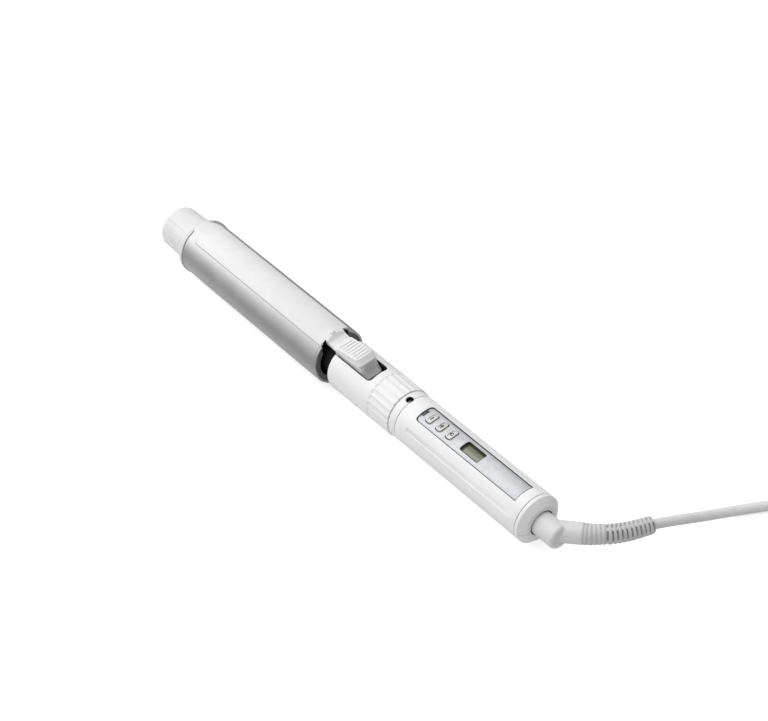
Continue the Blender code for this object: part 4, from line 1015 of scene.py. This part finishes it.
def tip():
    """The moulded tip: nine shallow flutes along it, a flange with a fine line round it."""
    front = TIP_FRONT
    base = BARREL_FRONT - 0.0003 - FLANGE_WIDTH
    rear = base + FLANGE_WIDTH
    hollow = TIP_RADII[0] - TIP_WALL - 1 * MM
    outline = rounded(
        [
            (front, 0.0),
            (front, TIP_RADII[0], 1.9 * MM),
            (front + 3.2 * MM, TIP_RADII[0] + 0.06 * MM),
            (base - 1.1 * MM, TIP_RADII[1] - 0.05 * MM),
            (base - 0.8 * MM, TIP_RADII[1], 0.1 * MM),
            (base, TIP_RADII[1] + 0.1 * MM, 0.25 * MM),
            (base, FLANGE_RADIUS - 0.1 * MM, 0.25 * MM),
            (base + 0.75 * MM, FLANGE_RADIUS - 0.1 * MM),
            (base + 0.95 * MM, FLANGE_RADIUS - 0.38 * MM),
            (base + 1.15 * MM, FLANGE_RADIUS),
            (rear, FLANGE_RADIUS, 0.25 * MM),
            (rear, hollow),
            (front + 2.2 * MM, hollow),
            (front + 2.2 * MM, 0.0),
        ],
        8,
    )
    # Stations along the flutes keep their rounded ends smooth.
    dense = []
    for (x0, r0), (x1, r1) in zip(outline, outline[1:] + outline[:1]):
        dense.append((x0, r0))
        if min(r0, r1) > hollow + MM and abs(x1 - x0) > 4 * MM:
            for share in (0.02, 0.04, 0.07, 0.1, 0.5, 0.93, 0.96, 0.98):
                dense.append((x0 + (x1 - x0) * share, r0 + (r1 - r0) * share))

    def flute(x, radius, degrees):
        outside = TIP_RADII[0] - 2 * MM <= radius <= TIP_RADII[1] + 0.1 * MM
        if not outside or x > base - 0.4 * MM:
            return radius
        pitch = 360.0 / FLUTE_COUNT
        off = abs((degrees - FLUTE_FIRST + pitch / 2) % pitch - pitch / 2)
        across = ease((FLUTE_HALF_WIDTH - off) / 0.8 + 0.5)
        line = max(0.0, 1 - abs(off - FLUTE_HALF_WIDTH) / 0.9)
        along = ease((base - 0.4 * MM - x) / (0.8 * MM)) * ease((x - front) / (1.2 * MM))
        return radius - (FLUTE_DEPTH * across + FLUTE_LINE * line) * along

    obj = lathe("fluted_tip", dense, 720, flute)
    piece("fluted_tip", obj, TIP_WHITE, "barrel_head", ("cool_tip",), 38)


NOTCH_HALF_WIDTH = 0.0086


def notch_outline():
    return box_outline(clamp_high.x - 0.9 * MM, BARREL_REAR + 5 * MM, NOTCH_HALF_WIDTH, 0.4 * MM)


def barrel():
    """The satin tube with its rolled rim, notched where the clamp's neck passes."""
    inner = BARREL_RADIUS - BARREL_WALL
    rim = 0.55 * MM
    outline = rounded(
        [
            (BARREL_FRONT, inner, 0.3 * MM),
            (BARREL_FRONT, BARREL_RADIUS, 0.3 * MM),
            (BARREL_REAR - 1.6 * MM, BARREL_RADIUS),
            (BARREL_REAR - 1.4 * MM, BARREL_RADIUS - 0.3 * MM),
            (BARREL_REAR - 1.2 * MM, BARREL_RADIUS),
            (BARREL_REAR, BARREL_RADIUS, rim),
            (BARREL_REAR, inner, rim),
        ],
        8,
    )
    obj = lathe("satin_tube", outline, 256)
    carve(obj, prism("notch", notch_outline(), AXIS, ABOVE))
    soften(obj, 0.12 * MM, 2, 50)
    piece("satin_tube", obj, BARREL_METAL, "barrel_head", ("barrel_tube",), 30)
    liner = lathe(
        "bore_liner",
        rounded(
            [
                (BARREL_REAR - 9 * MM, inner - 0.75 * MM),
                (BARREL_REAR - 9 * MM, inner - 0.1 * MM),
                (BARREL_REAR - 2.6 * MM, inner - 0.1 * MM, 0.1 * MM),
                (BARREL_REAR - 2.6 * MM, inner - 0.75 * MM, 0.3 * MM),
            ]
        ),
        ROUND,
    )
    piece("bore_liner", liner, BLACK, "barrel_head")
    sleeve = lathe(
        "rim_sleeve",
        rounded(
            [
                (BARREL_REAR - 1.6 * MM, inner - 2.6 * MM),
                (BARREL_REAR - 1.6 * MM, inner - 0.02 * MM),
                (BARREL_REAR - 0.45 * MM, inner - 0.02 * MM),
                (BARREL_REAR - 0.45 * MM, inner - 2.6 * MM, 0.3 * MM),
            ]
        ),
        ROUND,
    )
    carve(sleeve, prism("notch", notch_outline(), AXIS, ABOVE))
    piece("rim_sleeve", sleeve, SLEEVE_GREY, "barrel_head")


RIB_COUNT = 24
RIB_START = 0.0167  # from the collar's rear edge to the ribs' front ends
RIB_DEPTH = 0.42 * MM


def collar():
    """The finger collar: smooth in front, with soft ribs behind the lever's slot."""
    inner = COLLAR_RADIUS - COLLAR_WALL
    ribs = COLLAR_REAR - RIB_START
    outline = rounded(
        [
            (COLLAR_FRONT, inner, 0.2 * MM),
            (COLLAR_FRONT, COLLAR_RADIUS, 1.5 * MM),
            (COLLAR_REAR, COLLAR_RADIUS, 0.35 * MM),
            (COLLAR_REAR, inner),
        ],
        8,
    )
    dense = []
    for (x0, r0), (x1, r1) in zip(outline, outline[1:] + outline[:1]):
        dense.append((x0, r0))
        if x1 - x0 > 10 * MM:
            for step in range(20):
                dense.append((ribs - 0.2 * MM + 0.12 * MM * step, COLLAR_RADIUS))
            dense.append((COLLAR_REAR - 8 * MM, COLLAR_RADIUS))

    def rib(x, radius, degrees):
        if radius < COLLAR_RADIUS - MM or x < ribs - MM:
            return radius
        pitch = 360.0 / RIB_COUNT
        share = (degrees / pitch) % 1.0
        hollow = 1 - (2 * share - 1) ** 2  # 0 on a rib's ridge, 1 in the middle of a hollow
        start = ribs + 0.9 * MM * (1 - hollow)
        along = ease((x - start) / (0.8 * MM))
        return radius - RIB_DEPTH * along * hollow

    obj = lathe("finger_collar", dense, 720, rib)
    slot_rear = COLLAR_FRONT + SLOT_LENGTH
    slot = box_outline(COLLAR_FRONT - 8 * MM, slot_rear, SLOT_HALF_WIDTH, SLOT_CORNER)
    carve(obj, prism("slot", slot, AXIS + SLOT_FLOOR, ABOVE))
    soften(obj, 0.22 * MM, 3, 40)
    piece("finger_collar", obj, WHITE, "barrel_head", ("front_collar",), 42)
    # A black lining round the slot's walls: painted shade for the gap round the lever.
    depth, wall = 3.2 * MM, 0.45 * MM
    slot_shade_plan = box_outline(
        COLLAR_FRONT + 1.2 * MM, slot_rear - 0.02 * MM, SLOT_HALF_WIDTH - 0.02 * MM, SLOT_CORNER
    )
    slot_shade = arched("slot_gap_shade", slot_shade_plan, COLLAR_RADIUS - depth, COLLAR_RADIUS - 0.3 * MM)
    hole = box_outline(
        COLLAR_FRONT - 8 * MM, slot_rear - wall, SLOT_HALF_WIDTH - wall, SLOT_CORNER - wall
    )
    carve(slot_shade, prism("hole", hole, AXIS, ABOVE))
    soften(slot_shade, 0.05 * MM)
    piece("slot_gap_shade", slot_shade, BLACK, "barrel_head")


# --------------------------------------------------------------------------- clamp

CLAMP_NOSE = 0.0076
COVER_REAR = BARREL_REAR - 0.4 * MM  # the cover's rear edge stands over the barrel's rim
CLAMP_HALF_WIDTH = (clamp_high.y - clamp_low.y) / 2


def clamp():
    """The white cover over the metal tongue, the lever moulded to it, and its rivet."""
    front, rear = clamp_low.x, COVER_REAR
    inner = BARREL_RADIUS + 0.3 * MM
    plan = nosed(front, rear, CLAMP_HALF_WIDTH, CLAMP_NOSE, 0.3 * MM, 16)
    cover = arched("cover_shell", plan, inner, CLAMP_RADIUS)
    pocket_half = CLAMP_HALF_WIDTH - 1.7 * MM
    pocket = nosed(front + 2 * MM, rear + 2 * MM, pocket_half, pocket_half * 0.95, 0.0, 12)
    carve(cover, arched("pocket", pocket, inner - 1.5 * MM, inner + 0.72 * MM))
    carve(cover, lever_body(), operation="UNION")
    soften(cover, 0.24 * MM, 3, 35)
    piece("cover_and_lever", cover, COVER_WHITE, "clamp", ("clamp_cover", "thumb_lever"), 40)
    rivet_low, rivet_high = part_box("clamp_rivet")
    rivet_x = (rivet_low.x + rivet_high.x) / 2
    dome_radius = (rivet_high.x - rivet_low.x) / 2
    foot = CLAMP_RADIUS + AXIS - 0.25 * MM
    rise = rivet_high.z - foot
    dome = [(0.0, foot - MM), (dome_radius, foot - MM)]
    for degrees in range(0, 91, 10):
        angle = math.radians(degrees)
        dome.append((dome_radius * math.cos(angle), foot + rise * math.sin(angle)))
    rivet = upright("rivet_dome", rivet_x, dome)
    piece("rivet_dome", rivet, COVER_WHITE, "clamp", ("clamp_rivet",), 60)


RIDGE_COUNT = 7
PAD_LEVELS = (
    # rear x, rear z, front x, front z, sag in the middle, half-width, rear corner
    (0.0146, 0.01415, -0.0038, 0.0102, 0.0, 0.0046, 0.0014),
    (0.0151, 0.01403, -0.0043, 0.0101, 0.0, 0.0051, 0.0017),
    (0.0155, 0.01365, -0.0047, 0.0098, 0.0, 0.0054, 0.0020),
    (0.0173, 0.01175, -0.0050, 0.0096, 0.0014, 0.0056, 0.0024),
    (0.01765, 0.01160, -0.0052, 0.0094, 0.0015, 0.00585, 0.0026),
    (0.0177, 0.01135, -0.0052, 0.0091, 0.0015, 0.00585, 0.0026),
    (0.0175, 0.01110, -0.0050, 0.0089, 0.0015, 0.0056, 0.0024),
    (0.0176, 0.00900, -0.0050, 0.0074, 0.0010, 0.0055, 0.0024),
    (0.0183, 0.00650, -0.0050, 0.0056, 0.0005, 0.0055, 0.0024),
    (0.0194, 0.00430, -0.0050, 0.0040, 0.0, 0.0056, 0.0024),
    (0.0204, 0.00320, -0.0050, 0.0032, 0.0, 0.0057, 0.0024),
    (0.0204, 0.00240, -0.0050, 0.0024, 0.0, 0.0057, 0.0024),
)


def pad_body():
    """The lever's pad, from its ridged top past the bead round it down into the slot."""
    loops = []
    for rear_x, rear_z, front_x, front_z, sag, half, corner in PAD_LEVELS:
        outline = nosed(front_x, rear_x, half, 0.9 * MM, corner, 10)
        dense = []
        for before, after in zip(outline, outline[1:] + outline[:1]):
            steps = 12 if abs(after[0] - before[0]) > 8 * MM else 1
            for step in range(steps):
                share = step / steps
                dense.append([a + (b - a) * share for a, b in zip(before, after)])
        loop = []
        for x, y in dense:
            share = (x - front_x) / (rear_x - front_x)
            z = front_z + (rear_z - front_z) * share - sag * 4 * share * (1 - share)
            loop.append((PIVOT.x + x, y, PIVOT.z + z))
        loops.append(loop)
    return skin("pad_body", loops, capped=True)


def lever_body():
    """The thumb lever: its pad, a neck that dips behind the barrel's rim, two ears on the pin."""
    px, pz = PIVOT.x, PIVOT.z
    rear = COVER_REAR - 0.1 * MM
    neck_top = CLAMP_RADIUS - (pz - AXIS)
    step = COVER_REAR + 0.4 * MM - px
    outline = [
        (rear - px, neck_top + 0.5 * MM),
        (step + 0.0004, neck_top + 0.5 * MM),
        (step + 0.0006, neck_top - 0.1 * MM, 1.2 * MM),
        (step + 0.0024, neck_top - 1.9 * MM, 1.2 * MM),
        (-0.0060, 0.0086, 1.0 * MM),
        (-0.0047, 0.0092),
        (0.0040, 0.0085),
        (0.0041, -0.0020, 0.6 * MM),
        (0.0015, -0.0028, 0.6 * MM),
        (-0.0026, -0.0018, 0.6 * MM),
        (-0.0034, 0.0055, 1.0 * MM),
        (-0.0046, 0.0072, 0.6 * MM),
        (-0.0080, 0.0072, 0.5 * MM),
        (step, neck_top - 0.0036, 0.3 * MM),
        (step, neck_top - 0.0011, 0.2 * MM),
        (rear - px, neck_top - 0.0009),
    ]
    half = LEVER_HALF_WIDTH - 0.2 * MM
    side = [(px + x, pz + z) for x, z in rounded(outline, 6)]
    obj = prism("lever_body", side, -half, half, "xz")
    round_end = lathe(
        "round_end",
        [
            (rear - 4 * MM, 0.0),
            (rear - 4 * MM, CLAMP_RADIUS - 0.01 * MM),
            (px - 0.0075, CLAMP_RADIUS - 0.01 * MM),
            (px - 0.0025, 2 * CLAMP_RADIUS),
            (px + 0.03, 2 * CLAMP_RADIUS),
            (px + 0.03, 0.0),
        ],
        FINE_ROUND,
    )
    carve(obj, round_end, operation="INTERSECT")
    carve(obj, pad_body(), operation="UNION")
    hollow = [
        (-0.0070, -0.0060),
        (-0.0070, 0.0060),
        (-0.0039, 0.0083),
        (0.0143, 0.0114),
        (0.0163, 0.0086),
        (0.0186, 0.0010),
        (0.0186, -0.0060),
    ]
    inner_half = LEVER_HALF_WIDTH - 1.1 * MM
    hollow_side = [(px + x, pz + z) for x, z in hollow]
    carve(obj, prism("hollow", hollow_side, -inner_half, inner_half, "xz"))
    return obj


def ridges():
    """Seven round ridges across the pad's top."""
    px, pz = PIVOT.x, PIVOT.z
    rear_x, rear_z, front_x, front_z = PAD_LEVELS[0][:4]
    slope = (rear_z - front_z) / (rear_x - front_x)
    bm = bmesh.new()
    first, last = -0.0022, 0.0128
    for ridge in range(RIDGE_COUNT):
        x = first + (last - first) * ridge / (RIDGE_COUNT - 1)
        z = 0.01028 + slope * (x + 0.0041)
        half_length = LEVER_HALF_WIDTH - 1.3 * MM
        half_width, height = 0.78 * MM, 0.36 * MM
        rings = []
        for step in range(25):
            y = -half_length + 2 * half_length * step / 24
            end = min(step, 24 - step) / 24 * 2 * half_length / (0.9 * MM)
            taper = math.sqrt(max(0.0, 1 - (1 - min(end, 1.0)) ** 2))
            ring = []
            for turn in range(17):
                angle = math.pi * turn / 16
                along = -math.cos(angle) * half_width * max(taper, 0.02)
                up = math.sin(angle) * height * max(taper, 0.02) - 0.06 * MM
                ring.append(bm.verts.new((px + x + along, y, pz + z + up + along * slope)))
            rings.append(ring)
        for ring, following in zip(rings, rings[1:]):
            for turn in range(16):
                bm.faces.new((ring[turn], ring[turn + 1], following[turn + 1], following[turn]))
            bm.faces.new((ring[16], ring[0], following[0], following[16]))
        bm.faces.new(rings[0])
        bm.faces.new(rings[-1])
    piece("pad_ridges", new_object("pad_ridges", bm), COVER_WHITE, "clamp", (), 60)


# --------------------------------------------------------------------------- handle

STRIP_ANGLES = (-62.0, -52.0)
STRIP_START, STRIP_END = 0.0078, 0.0838
STRIP_DEPTH = 0.36 * MM
LINE_ANGLE = 42.0


def handle_shape(x, radius, degrees):
    """The shells' outer surface: a sunk strip on each side and a fine line on the far side."""
    if radius < HANDLE_RADIUS - 0.5 * MM:
        return radius
    side = -abs(degrees)
    into = min(side - STRIP_ANGLES[0], STRIP_ANGLES[1] - side) + 0.5
    along = min(x - SHELL_FRONT - STRIP_START, SHELL_FRONT + STRIP_END - x) / (0.3 * MM) + 0.5
    radius -= STRIP_DEPTH * ease(into) * ease(along)
    if abs(degrees - LINE_ANGLE) < 0.8:
        radius -= 0.25 * MM
    return radius


def well(sign):
    """A round cutter for the ring screws' holes."""
    outline = []
    for step in range(64):
        angle = 2 * math.pi * step / 64
        x = SHELL_FRONT + SCREW_STATION + SCREW_HOLE * math.cos(angle)
        outline.append((x, SCREW_HOLE * math.sin(angle)))
    low, high = sorted((AXIS, AXIS + sign * 2 * HANDLE_RADIUS))
    return prism("well", outline, low, high)


def ring_and_screws():
    inner = HANDLE_RADIUS - SHELL_WALL
    rear = SHELL_FRONT - 2 * SEAM
    outline = rounded(
        [
            (RING_FRONT, inner),
            (RING_FRONT, HANDLE_RADIUS, 0.3 * MM),
            (rear, HANDLE_RADIUS, 0.14 * MM),
            (rear, inner),
        ],
        5,
    )
    obj = lathe("front_ring", outline, 256)
    carve(obj, well(1), well(-1))
    soften(obj, 0.1 * MM, 2, 50)
    piece("front_ring", obj, WHITE, "handle", ("handle_ring",))
    for name, sign in (("upper", 1), ("lower", -1)):
        low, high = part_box(f"ring_screw_{name}")
        centre = (low + high) / 2
        top = high.z if sign > 0 else low.z
        radius = (high.x - low.x) / 2
        profile = [(0.0, 0.0), (radius * 0.75, -0.08 * MM), (radius * 0.95, -0.3 * MM)]
        profile += [(radius, -0.5 * MM), (radius, -1.2 * MM), (0.0, -1.2 * MM)]
        profile = [(size, top + sign * drop) for size, drop in profile]
        screw = upright(f"cross_screw_{name}", centre.x, profile)
        arm, half = radius * 0.62, 0.16 * MM
        cross = [
            (-arm, -half), (-half, -half), (-half, -arm),
            (half, -arm), (half, -half), (arm, -half),
            (arm, half), (half, half), (half, arm),
            (-half, arm), (-half, half), (-arm, half),
        ]
        cross = [(centre.x + x, y) for x, y in cross]
        low_z, high_z = sorted((top + sign * 0.5 * MM, top - sign * 0.6 * MM))
        carve(screw, prism("cross", cross, low_z, high_z))
        piece(f"cross_screw_{name}", screw, STEEL, "handle", (f"ring_screw_{name}",))
        # A black sleeve lines the hole down to the screw's head, painted shade for the hole.
        outer, inside = SCREW_HOLE - 0.04 * MM, SCREW_HOLE - 0.3 * MM
        surface = math.sqrt(HANDLE_RADIUS**2 - SCREW_HOLE**2) - 0.12 * MM
        sleeve_top = AXIS + sign * surface
        sleeve_foot = top - sign * 0.3 * MM
        profile = [(outer, sleeve_foot), (outer, sleeve_top)]
        profile += [(inside, sleeve_top), (inside, sleeve_foot)]
        sleeve = upright(f"screw_hole_shade_{name}", centre.x, profile, closed=True)
        piece(f"screw_hole_shade_{name}", sleeve, BLACK, "handle")


def seam_lines():
    """Black tongues behind the lines between the handle's mouldings, painted shade for the gaps.
    """
    top, foot = HANDLE_RADIUS - 0.4 * MM, HANDLE_RADIUS - 1.5 * MM
    for name, x in (("front", SHELL_FRONT - SEAM), ("rear", SHELL_REAR + SEAM)):
        half = 0.5 * MM
        band = [(x - half, foot), (x - half, top), (x + half, top), (x + half, foot)]
        obj = lathe(f"seam_shade_ring_{name}", rounded([(*p, 0.05 * MM) for p in band], 2), ROUND)
        if name == "front":
            carve(obj, well(1), well(-1))
        piece(f"seam_shade_ring_{name}", obj, BLACK, "handle")
    for name, sign in (("near", -1), ("far", 1)):
        low, high = sorted((sign * top, sign * foot))
        x0, x1 = SHELL_FRONT + 0.6 * MM, SHELL_REAR - 0.6 * MM
        strip = prism(
            f"seam_shade_strip_{name}",
            [(x0, low), (x1, low), (x1, high), (x0, high)],
            AXIS + PART_LINE - 0.5 * MM,
            AXIS + PART_LINE + 0.5 * MM,
        )
        soften(strip, 0.05 * MM)
        piece(f"seam_shade_strip_{name}", strip, BLACK, "handle")
    # The end cap's split, seen on its sloping rim and its face, darkened by black tongues as
    # painted shade.
    slope = [
        (SHELL_REAR + 1.2 * MM, HANDLE_RADIUS - 0.5 * MM),
        (SHELL_REAR + CAP_RIM, HANDLE_RADIUS - 0.6 * MM),
        (CAP_REAR - 0.5 * MM, CAP_FACE_RADIUS - 0.2 * MM),
        (CAP_REAR - 0.5 * MM, CAP_HOLE + 0.05 * MM),
        (SHELL_REAR + 1.2 * MM, CAP_HOLE + 0.05 * MM),
    ]
    for name, sign in (("near", -1), ("far", 1)):
        outline = [(x, sign * y) for x, y in slope]
        low, high = AXIS + PART_LINE - 0.5 * MM, AXIS + PART_LINE + 0.5 * MM
        tongue = soften(prism(f"cap_split_shade_{name}", outline, low, high), 0.05 * MM)
        piece(f"cap_split_shade_{name}", tongue, BLACK, "handle")


def panel_outline(margin=0.0):
    corner = 1.5 * MM
    half = PANEL_HIGH.y - margin
    front, rear = PANEL_LOW.x + margin, PANEL_HIGH.x - margin
    return nosed(front, rear, half, corner, 0.25 * MM, 8)


def keep_half(obj, sign, front, rear):
    """Cuts a moulding at the line where the upper and lower halves meet."""
    edge = AXIS + PART_LINE + sign * SEAM
    low, high = sorted((edge, edge + sign * REACH))
    block = prism("half", box_outline(front - 0.01, rear + 0.01, REACH), low, high)
    return carve(obj, block, operation="INTERSECT")


def shells():
    """The two halves of the handle's body, with the panel's recess in the upper one."""
    inner = HANDLE_RADIUS - SHELL_WALL
    outline = rounded(
        [
            (SHELL_FRONT, inner),
            (SHELL_FRONT, HANDLE_RADIUS, 0.14 * MM),
            (SHELL_REAR, HANDLE_RADIUS, 0.14 * MM),
            (SHELL_REAR, inner),
        ],
        4,
    )
    dense = []
    for (x0, r0), (x1, r1) in zip(outline, outline[1:] + outline[:1]):
        dense.append((x0, r0))
        if x1 - x0 > 10 * MM:
            for end in (SHELL_FRONT + STRIP_START, SHELL_FRONT + STRIP_END):
                for step in (-0.25, -0.1, 0.05, 0.2):
                    dense.append((end + step * MM, HANDLE_RADIUS))
    for name, sign in (("upper", 1), ("lower", -1)):
        obj = lathe(f"body_shell_{name}", dense, 720, handle_shape)
        keep_half(obj, sign, SHELL_FRONT, SHELL_REAR)
        carve(obj, well(sign))
        if sign > 0:
            depth = HANDLE_RADIUS - 2.2 * MM
            carve(obj, arched("recess", panel_outline(-0.28 * MM), depth, HANDLE_RADIUS + MM))
        soften(obj, 0.1 * MM, 2, 50)
        piece(f"body_shell_{name}", obj, WHITE, "handle", (f"handle_{name}_shell",))


PLATE_DEPTH = 0.45 * MM  # of the panel's face below the handle's surface
GLASS_DEPTH = 1.4 * MM  # of the display's glass below the panel's face
KEY_SIZE = (0.0038, 0.0061)
KEY_CORNER = 0.0011
KEY_GAP = 0.5 * MM


def key_marks(name, x):
    """Outlines of a key's mark: a minus, a plus, or a ring broken by a short bar for power."""
    stroke, arm = 0.27 * MM, 1.2 * MM
    if name == "minus":
        return [box_outline(x - stroke, x + stroke, arm, 0.05 * MM)]
    if name == "plus":
        return [
            box_outline(x - stroke, x + stroke, arm, 0.05 * MM),
            box_outline(x - arm, x + arm, stroke, 0.05 * MM),
        ]
    ring = []
    for radius, turns in ((1.0 * MM, range(40, 321, 10)), (0.62 * MM, range(320, 39, -10))):
        for degrees in turns:
            angle = math.radians(degrees)
            ring.append((x - radius * math.cos(angle), radius * math.sin(angle)))
    return [box_outline(x - 1.2 * MM, x - 0.1 * MM, stroke * 0.8, 0.05 * MM), ring]


def through(name, outline):
    """A cutter that runs from inside the handle out through its top."""
    return prism(name, outline, AXIS, AXIS + 2 * HANDLE_RADIUS)


def controls():
    """The silver panel sunk in a black rim, painted shade for the recess walls, with the lamp, the
    three keys and the display.
    """
    face = HANDLE_RADIUS - PLATE_DEPTH
    rim_top = HANDLE_RADIUS - 0.04 * MM
    floor_top = face - 0.6 * MM
    # A black rim lines the recess round the panel: painted shade for its walls.
    rim = arched("panel_recess_shade", panel_outline(-0.35 * MM), floor_top - 0.4 * MM, rim_top)
    carve(rim, arched("hollow", panel_outline(0.05 * MM), floor_top, HANDLE_RADIUS + MM))
    plate = arched("panel_face", panel_outline(0.08 * MM), floor_top + 0.02 * MM, face)
    keys = {name: middle(f"{name}_button").x for name in ("minus", "plus", "power")}
    half_length, half_width = KEY_SIZE[0] / 2, KEY_SIZE[1] / 2
    for x in keys.values():
        for target, gap in ((plate, KEY_GAP), (rim, 0.1 * MM)):
            reach = half_length + gap
            hole = box_outline(x - reach, x + reach, half_width + gap, KEY_CORNER + gap)
            carve(target, through("hole", hole))
    bezel_low, bezel_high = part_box("screen_bezel")
    half_bezel = (bezel_high.y - bezel_low.y) / 2

    def window(margin, corner):
        return box_outline(
            bezel_low.x + margin, bezel_high.x - margin, half_bezel - margin, corner
        )

    for target in (plate, rim):
        carve(target, through("hole", window(-0.05 * MM, 1.1 * MM)))
    lamp_low, lamp_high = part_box("lamp_window")
    lamp_half = (lamp_high.y - lamp_low.y) / 2 + 0.3 * MM
    lamp_front, lamp_rear = PANEL_LOW.x + 0.05 * MM, lamp_high.x + 0.7 * MM
    lamp_hole = box_outline(lamp_front - MM, lamp_rear + 0.08 * MM, lamp_half + 0.08 * MM)
    carve(plate, through("hole", lamp_hole))
    soften(plate, 0.1 * MM, 2, 45)
    soften(rim, 0.05 * MM, 1, 45)
    piece("panel_face", plate, PANEL_SILVER, "handle", ("panel_plate",))
    piece("panel_recess_shade", rim, BLACK, "handle")
    lamp_plan = box_outline(lamp_front, lamp_rear, lamp_half, 0.15 * MM)
    lamp = soften(arched("lamp_lens", lamp_plan, floor_top, face + 0.25 * MM), 0.1 * MM)
    piece("lamp_lens", lamp, SMOKED, "handle", ("lamp_window",))

    ledge = face - GLASS_DEPTH
    bezel = arched("display_frame", window(0.0, 1.05 * MM), ledge - 0.6 * MM, face + 0.02 * MM)
    carve(bezel, arched("hollow", window(0.2 * MM, 0.9 * MM), ledge, face + MM))
    glass_plan = box_outline(
        bezel_low.x + 1.3 * MM, bezel_high.x - 1.0 * MM, half_bezel - 1.0 * MM, 0.3 * MM
    )
    carve(bezel, through("window", glass_plan))
    soften(bezel, 0.06 * MM)
    piece("display_frame", bezel, BEZEL, "handle", ("screen_bezel",))
    glass = arched("display_lens", glass_plan, ledge - 0.6 * MM, ledge - 0.1 * MM)
    piece("display_lens", glass, DISPLAY, "handle", ("screen_glass",))

    top = HANDLE_RADIUS + 0.15 * MM
    for name, x in keys.items():
        key_plan = box_outline(x - half_length, x + half_length, half_width, KEY_CORNER)
        key = arched(f"{name}_key", key_plan, HANDLE_RADIUS - 1.6 * MM, top)
        edge = 0.7 * MM
        inside, corner = half_length - edge, KEY_CORNER - 0.4 * MM
        dish = box_outline(x - inside, x + inside, half_width - edge, corner)
        carve(key, arched("dish", dish, top - 0.5 * MM, top + MM))
        soften(key, 0.15 * MM, 3, 35)
        piece(f"{name}_key", key, KEY_SILVER, f"{name}_button", (f"{name}_button",))
        low, high = top - 0.7 * MM, top - 0.38 * MM
        outlines = key_marks(name, x)
        mark = arched(f"{name}_mark", outlines[0], low, high)
        for extra in outlines[1:]:
            carve(mark, arched("extra", extra, low, high), operation="UNION")
        piece(f"{name}_mark", mark, KEY_INK, f"{name}_button")


def end_cap():
    front = SHELL_REAR + 2 * SEAM
    outline = rounded(
        [
            (front, HANDLE_RADIUS - 2 * MM),
            (front, HANDLE_RADIUS, 0.14 * MM),
            (front + CAP_RIM, HANDLE_RADIUS, 0.25 * MM),
            (CAP_REAR, CAP_FACE_RADIUS, 0.35 * MM),
            (CAP_REAR, CAP_HOLE, 0.2 * MM),
            (CAP_REAR - 1.6 * MM, CAP_HOLE),
            (CAP_REAR - 1.6 * MM, HANDLE_RADIUS - 2 * MM),
        ],
        5,
    )
    for name, sign in (("upper", 1), ("lower", -1)):
        obj = lathe(f"cap_half_{name}", outline, 256)
        keep_half(obj, sign, front, CAP_REAR)
        soften(obj, 0.1 * MM, 2, 50)
        piece(f"cap_half_{name}", obj, WHITE, "handle", (f"end_cap_{name}",))
    # A black ring sunk in the cap's hole round the stub: painted shade for the gap.
    swivel_shade = lathe(
        "swivel_gap_shade",
        [
            (CAP_REAR - 1.5 * MM, STUB_RADIUS + 0.03 * MM),
            (CAP_REAR - 0.5 * MM, STUB_RADIUS + 0.03 * MM),
            (CAP_REAR - 0.5 * MM, CAP_HOLE - 0.02 * MM),
            (CAP_REAR - 1.5 * MM, CAP_HOLE - 0.02 * MM),
        ],
        ROUND,
    )
    piece("swivel_gap_shade", swivel_shade, BLACK, "handle")


def stub():
    """The cord's swivel: a round stub whose elbow runs into the strain relief."""
    front = CAP_REAR - 1.4 * MM
    rear = CAP_REAR + STUB_REACH
    profile = [
        (front, 0.0),
        (front, STUB_RADIUS),
        (rear - 0.4 * MM, STUB_RADIUS, 2.1 * MM),
        (rear - 0.2 * MM, 0.0),
    ]
    obj = lathe("swivel_elbow", rounded(profile, 10), 128)
    start = CAP_CENTRE + Vector((0.0058, -0.0009, 0.0))
    points = smooth_route(
        [start, *from_cap([(0.0110, 0.0036, -0.0001), RELIEF_ROUTE[0]])],
        0.5 * MM,
    )
    ahead = (CAP_CENTRE + Vector(RELIEF_ROUTE[1]) - points[-1]).normalized()
    points.append(points[-1] + ahead * 0.4 * MM)
    elbow = sweep("elbow", points, lambda share, degrees: 5.5 * MM - 0.1 * MM * share, 96)
    carve(obj, elbow, operation="UNION")
    soften(obj, 0.35 * MM, 3, 28)
    piece("swivel_elbow", obj, STUB_WHITE, "cord_set", ("swivel_stub",), 50)


CARRIED = {
    ALUMINIUM: ("heater_block_upper", "heater_block_lower", "clamp_tongue"),
    CERAMIC: ("heater_element", "thermistor"),
    STEEL: ("thermal_fuse", "hinge_pin", "spindle"),
    SPRING: ("clamp_spring", "retaining_clip", "ring_spring", "pin_spring"),
    BRASS: (
        "slip_ring_1", "slip_ring_2", "slip_ring_3", "swivel_contact_ring", "swivel_contact_pin",
    ),
    BRONZE: ("front_bearing",),
    CARBON: ("brush_1", "brush_2", "brush_3"),
    BLACK: (
        "barrel_neck", "slip_ring_sleeve", "brush_holder", "contact_holder", "power_triac",
        "minus_switch", "plus_switch", "power_switch",
    ),
    BOARD: ("circuit_board",),
    DISPLAY: ("screen_module",),
}


def carried_nodes():
    """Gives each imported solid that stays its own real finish."""
    for finish, names in CARRIED.items():
        for name in names:
            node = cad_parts[name]
            node.data.materials.clear()
            node.data.materials.append(finish)


camera()
floor()
studio()
cord_piece, cord_exit, cord_length = cord()
relief_piece = boot()
strap_piece = strap()
plug_pieces = plug()
tip()
barrel()
collar()
clamp()
ridges()
ring_and_screws()
shells()
seam_lines()
controls()
end_cap()
stub()
carried_nodes()
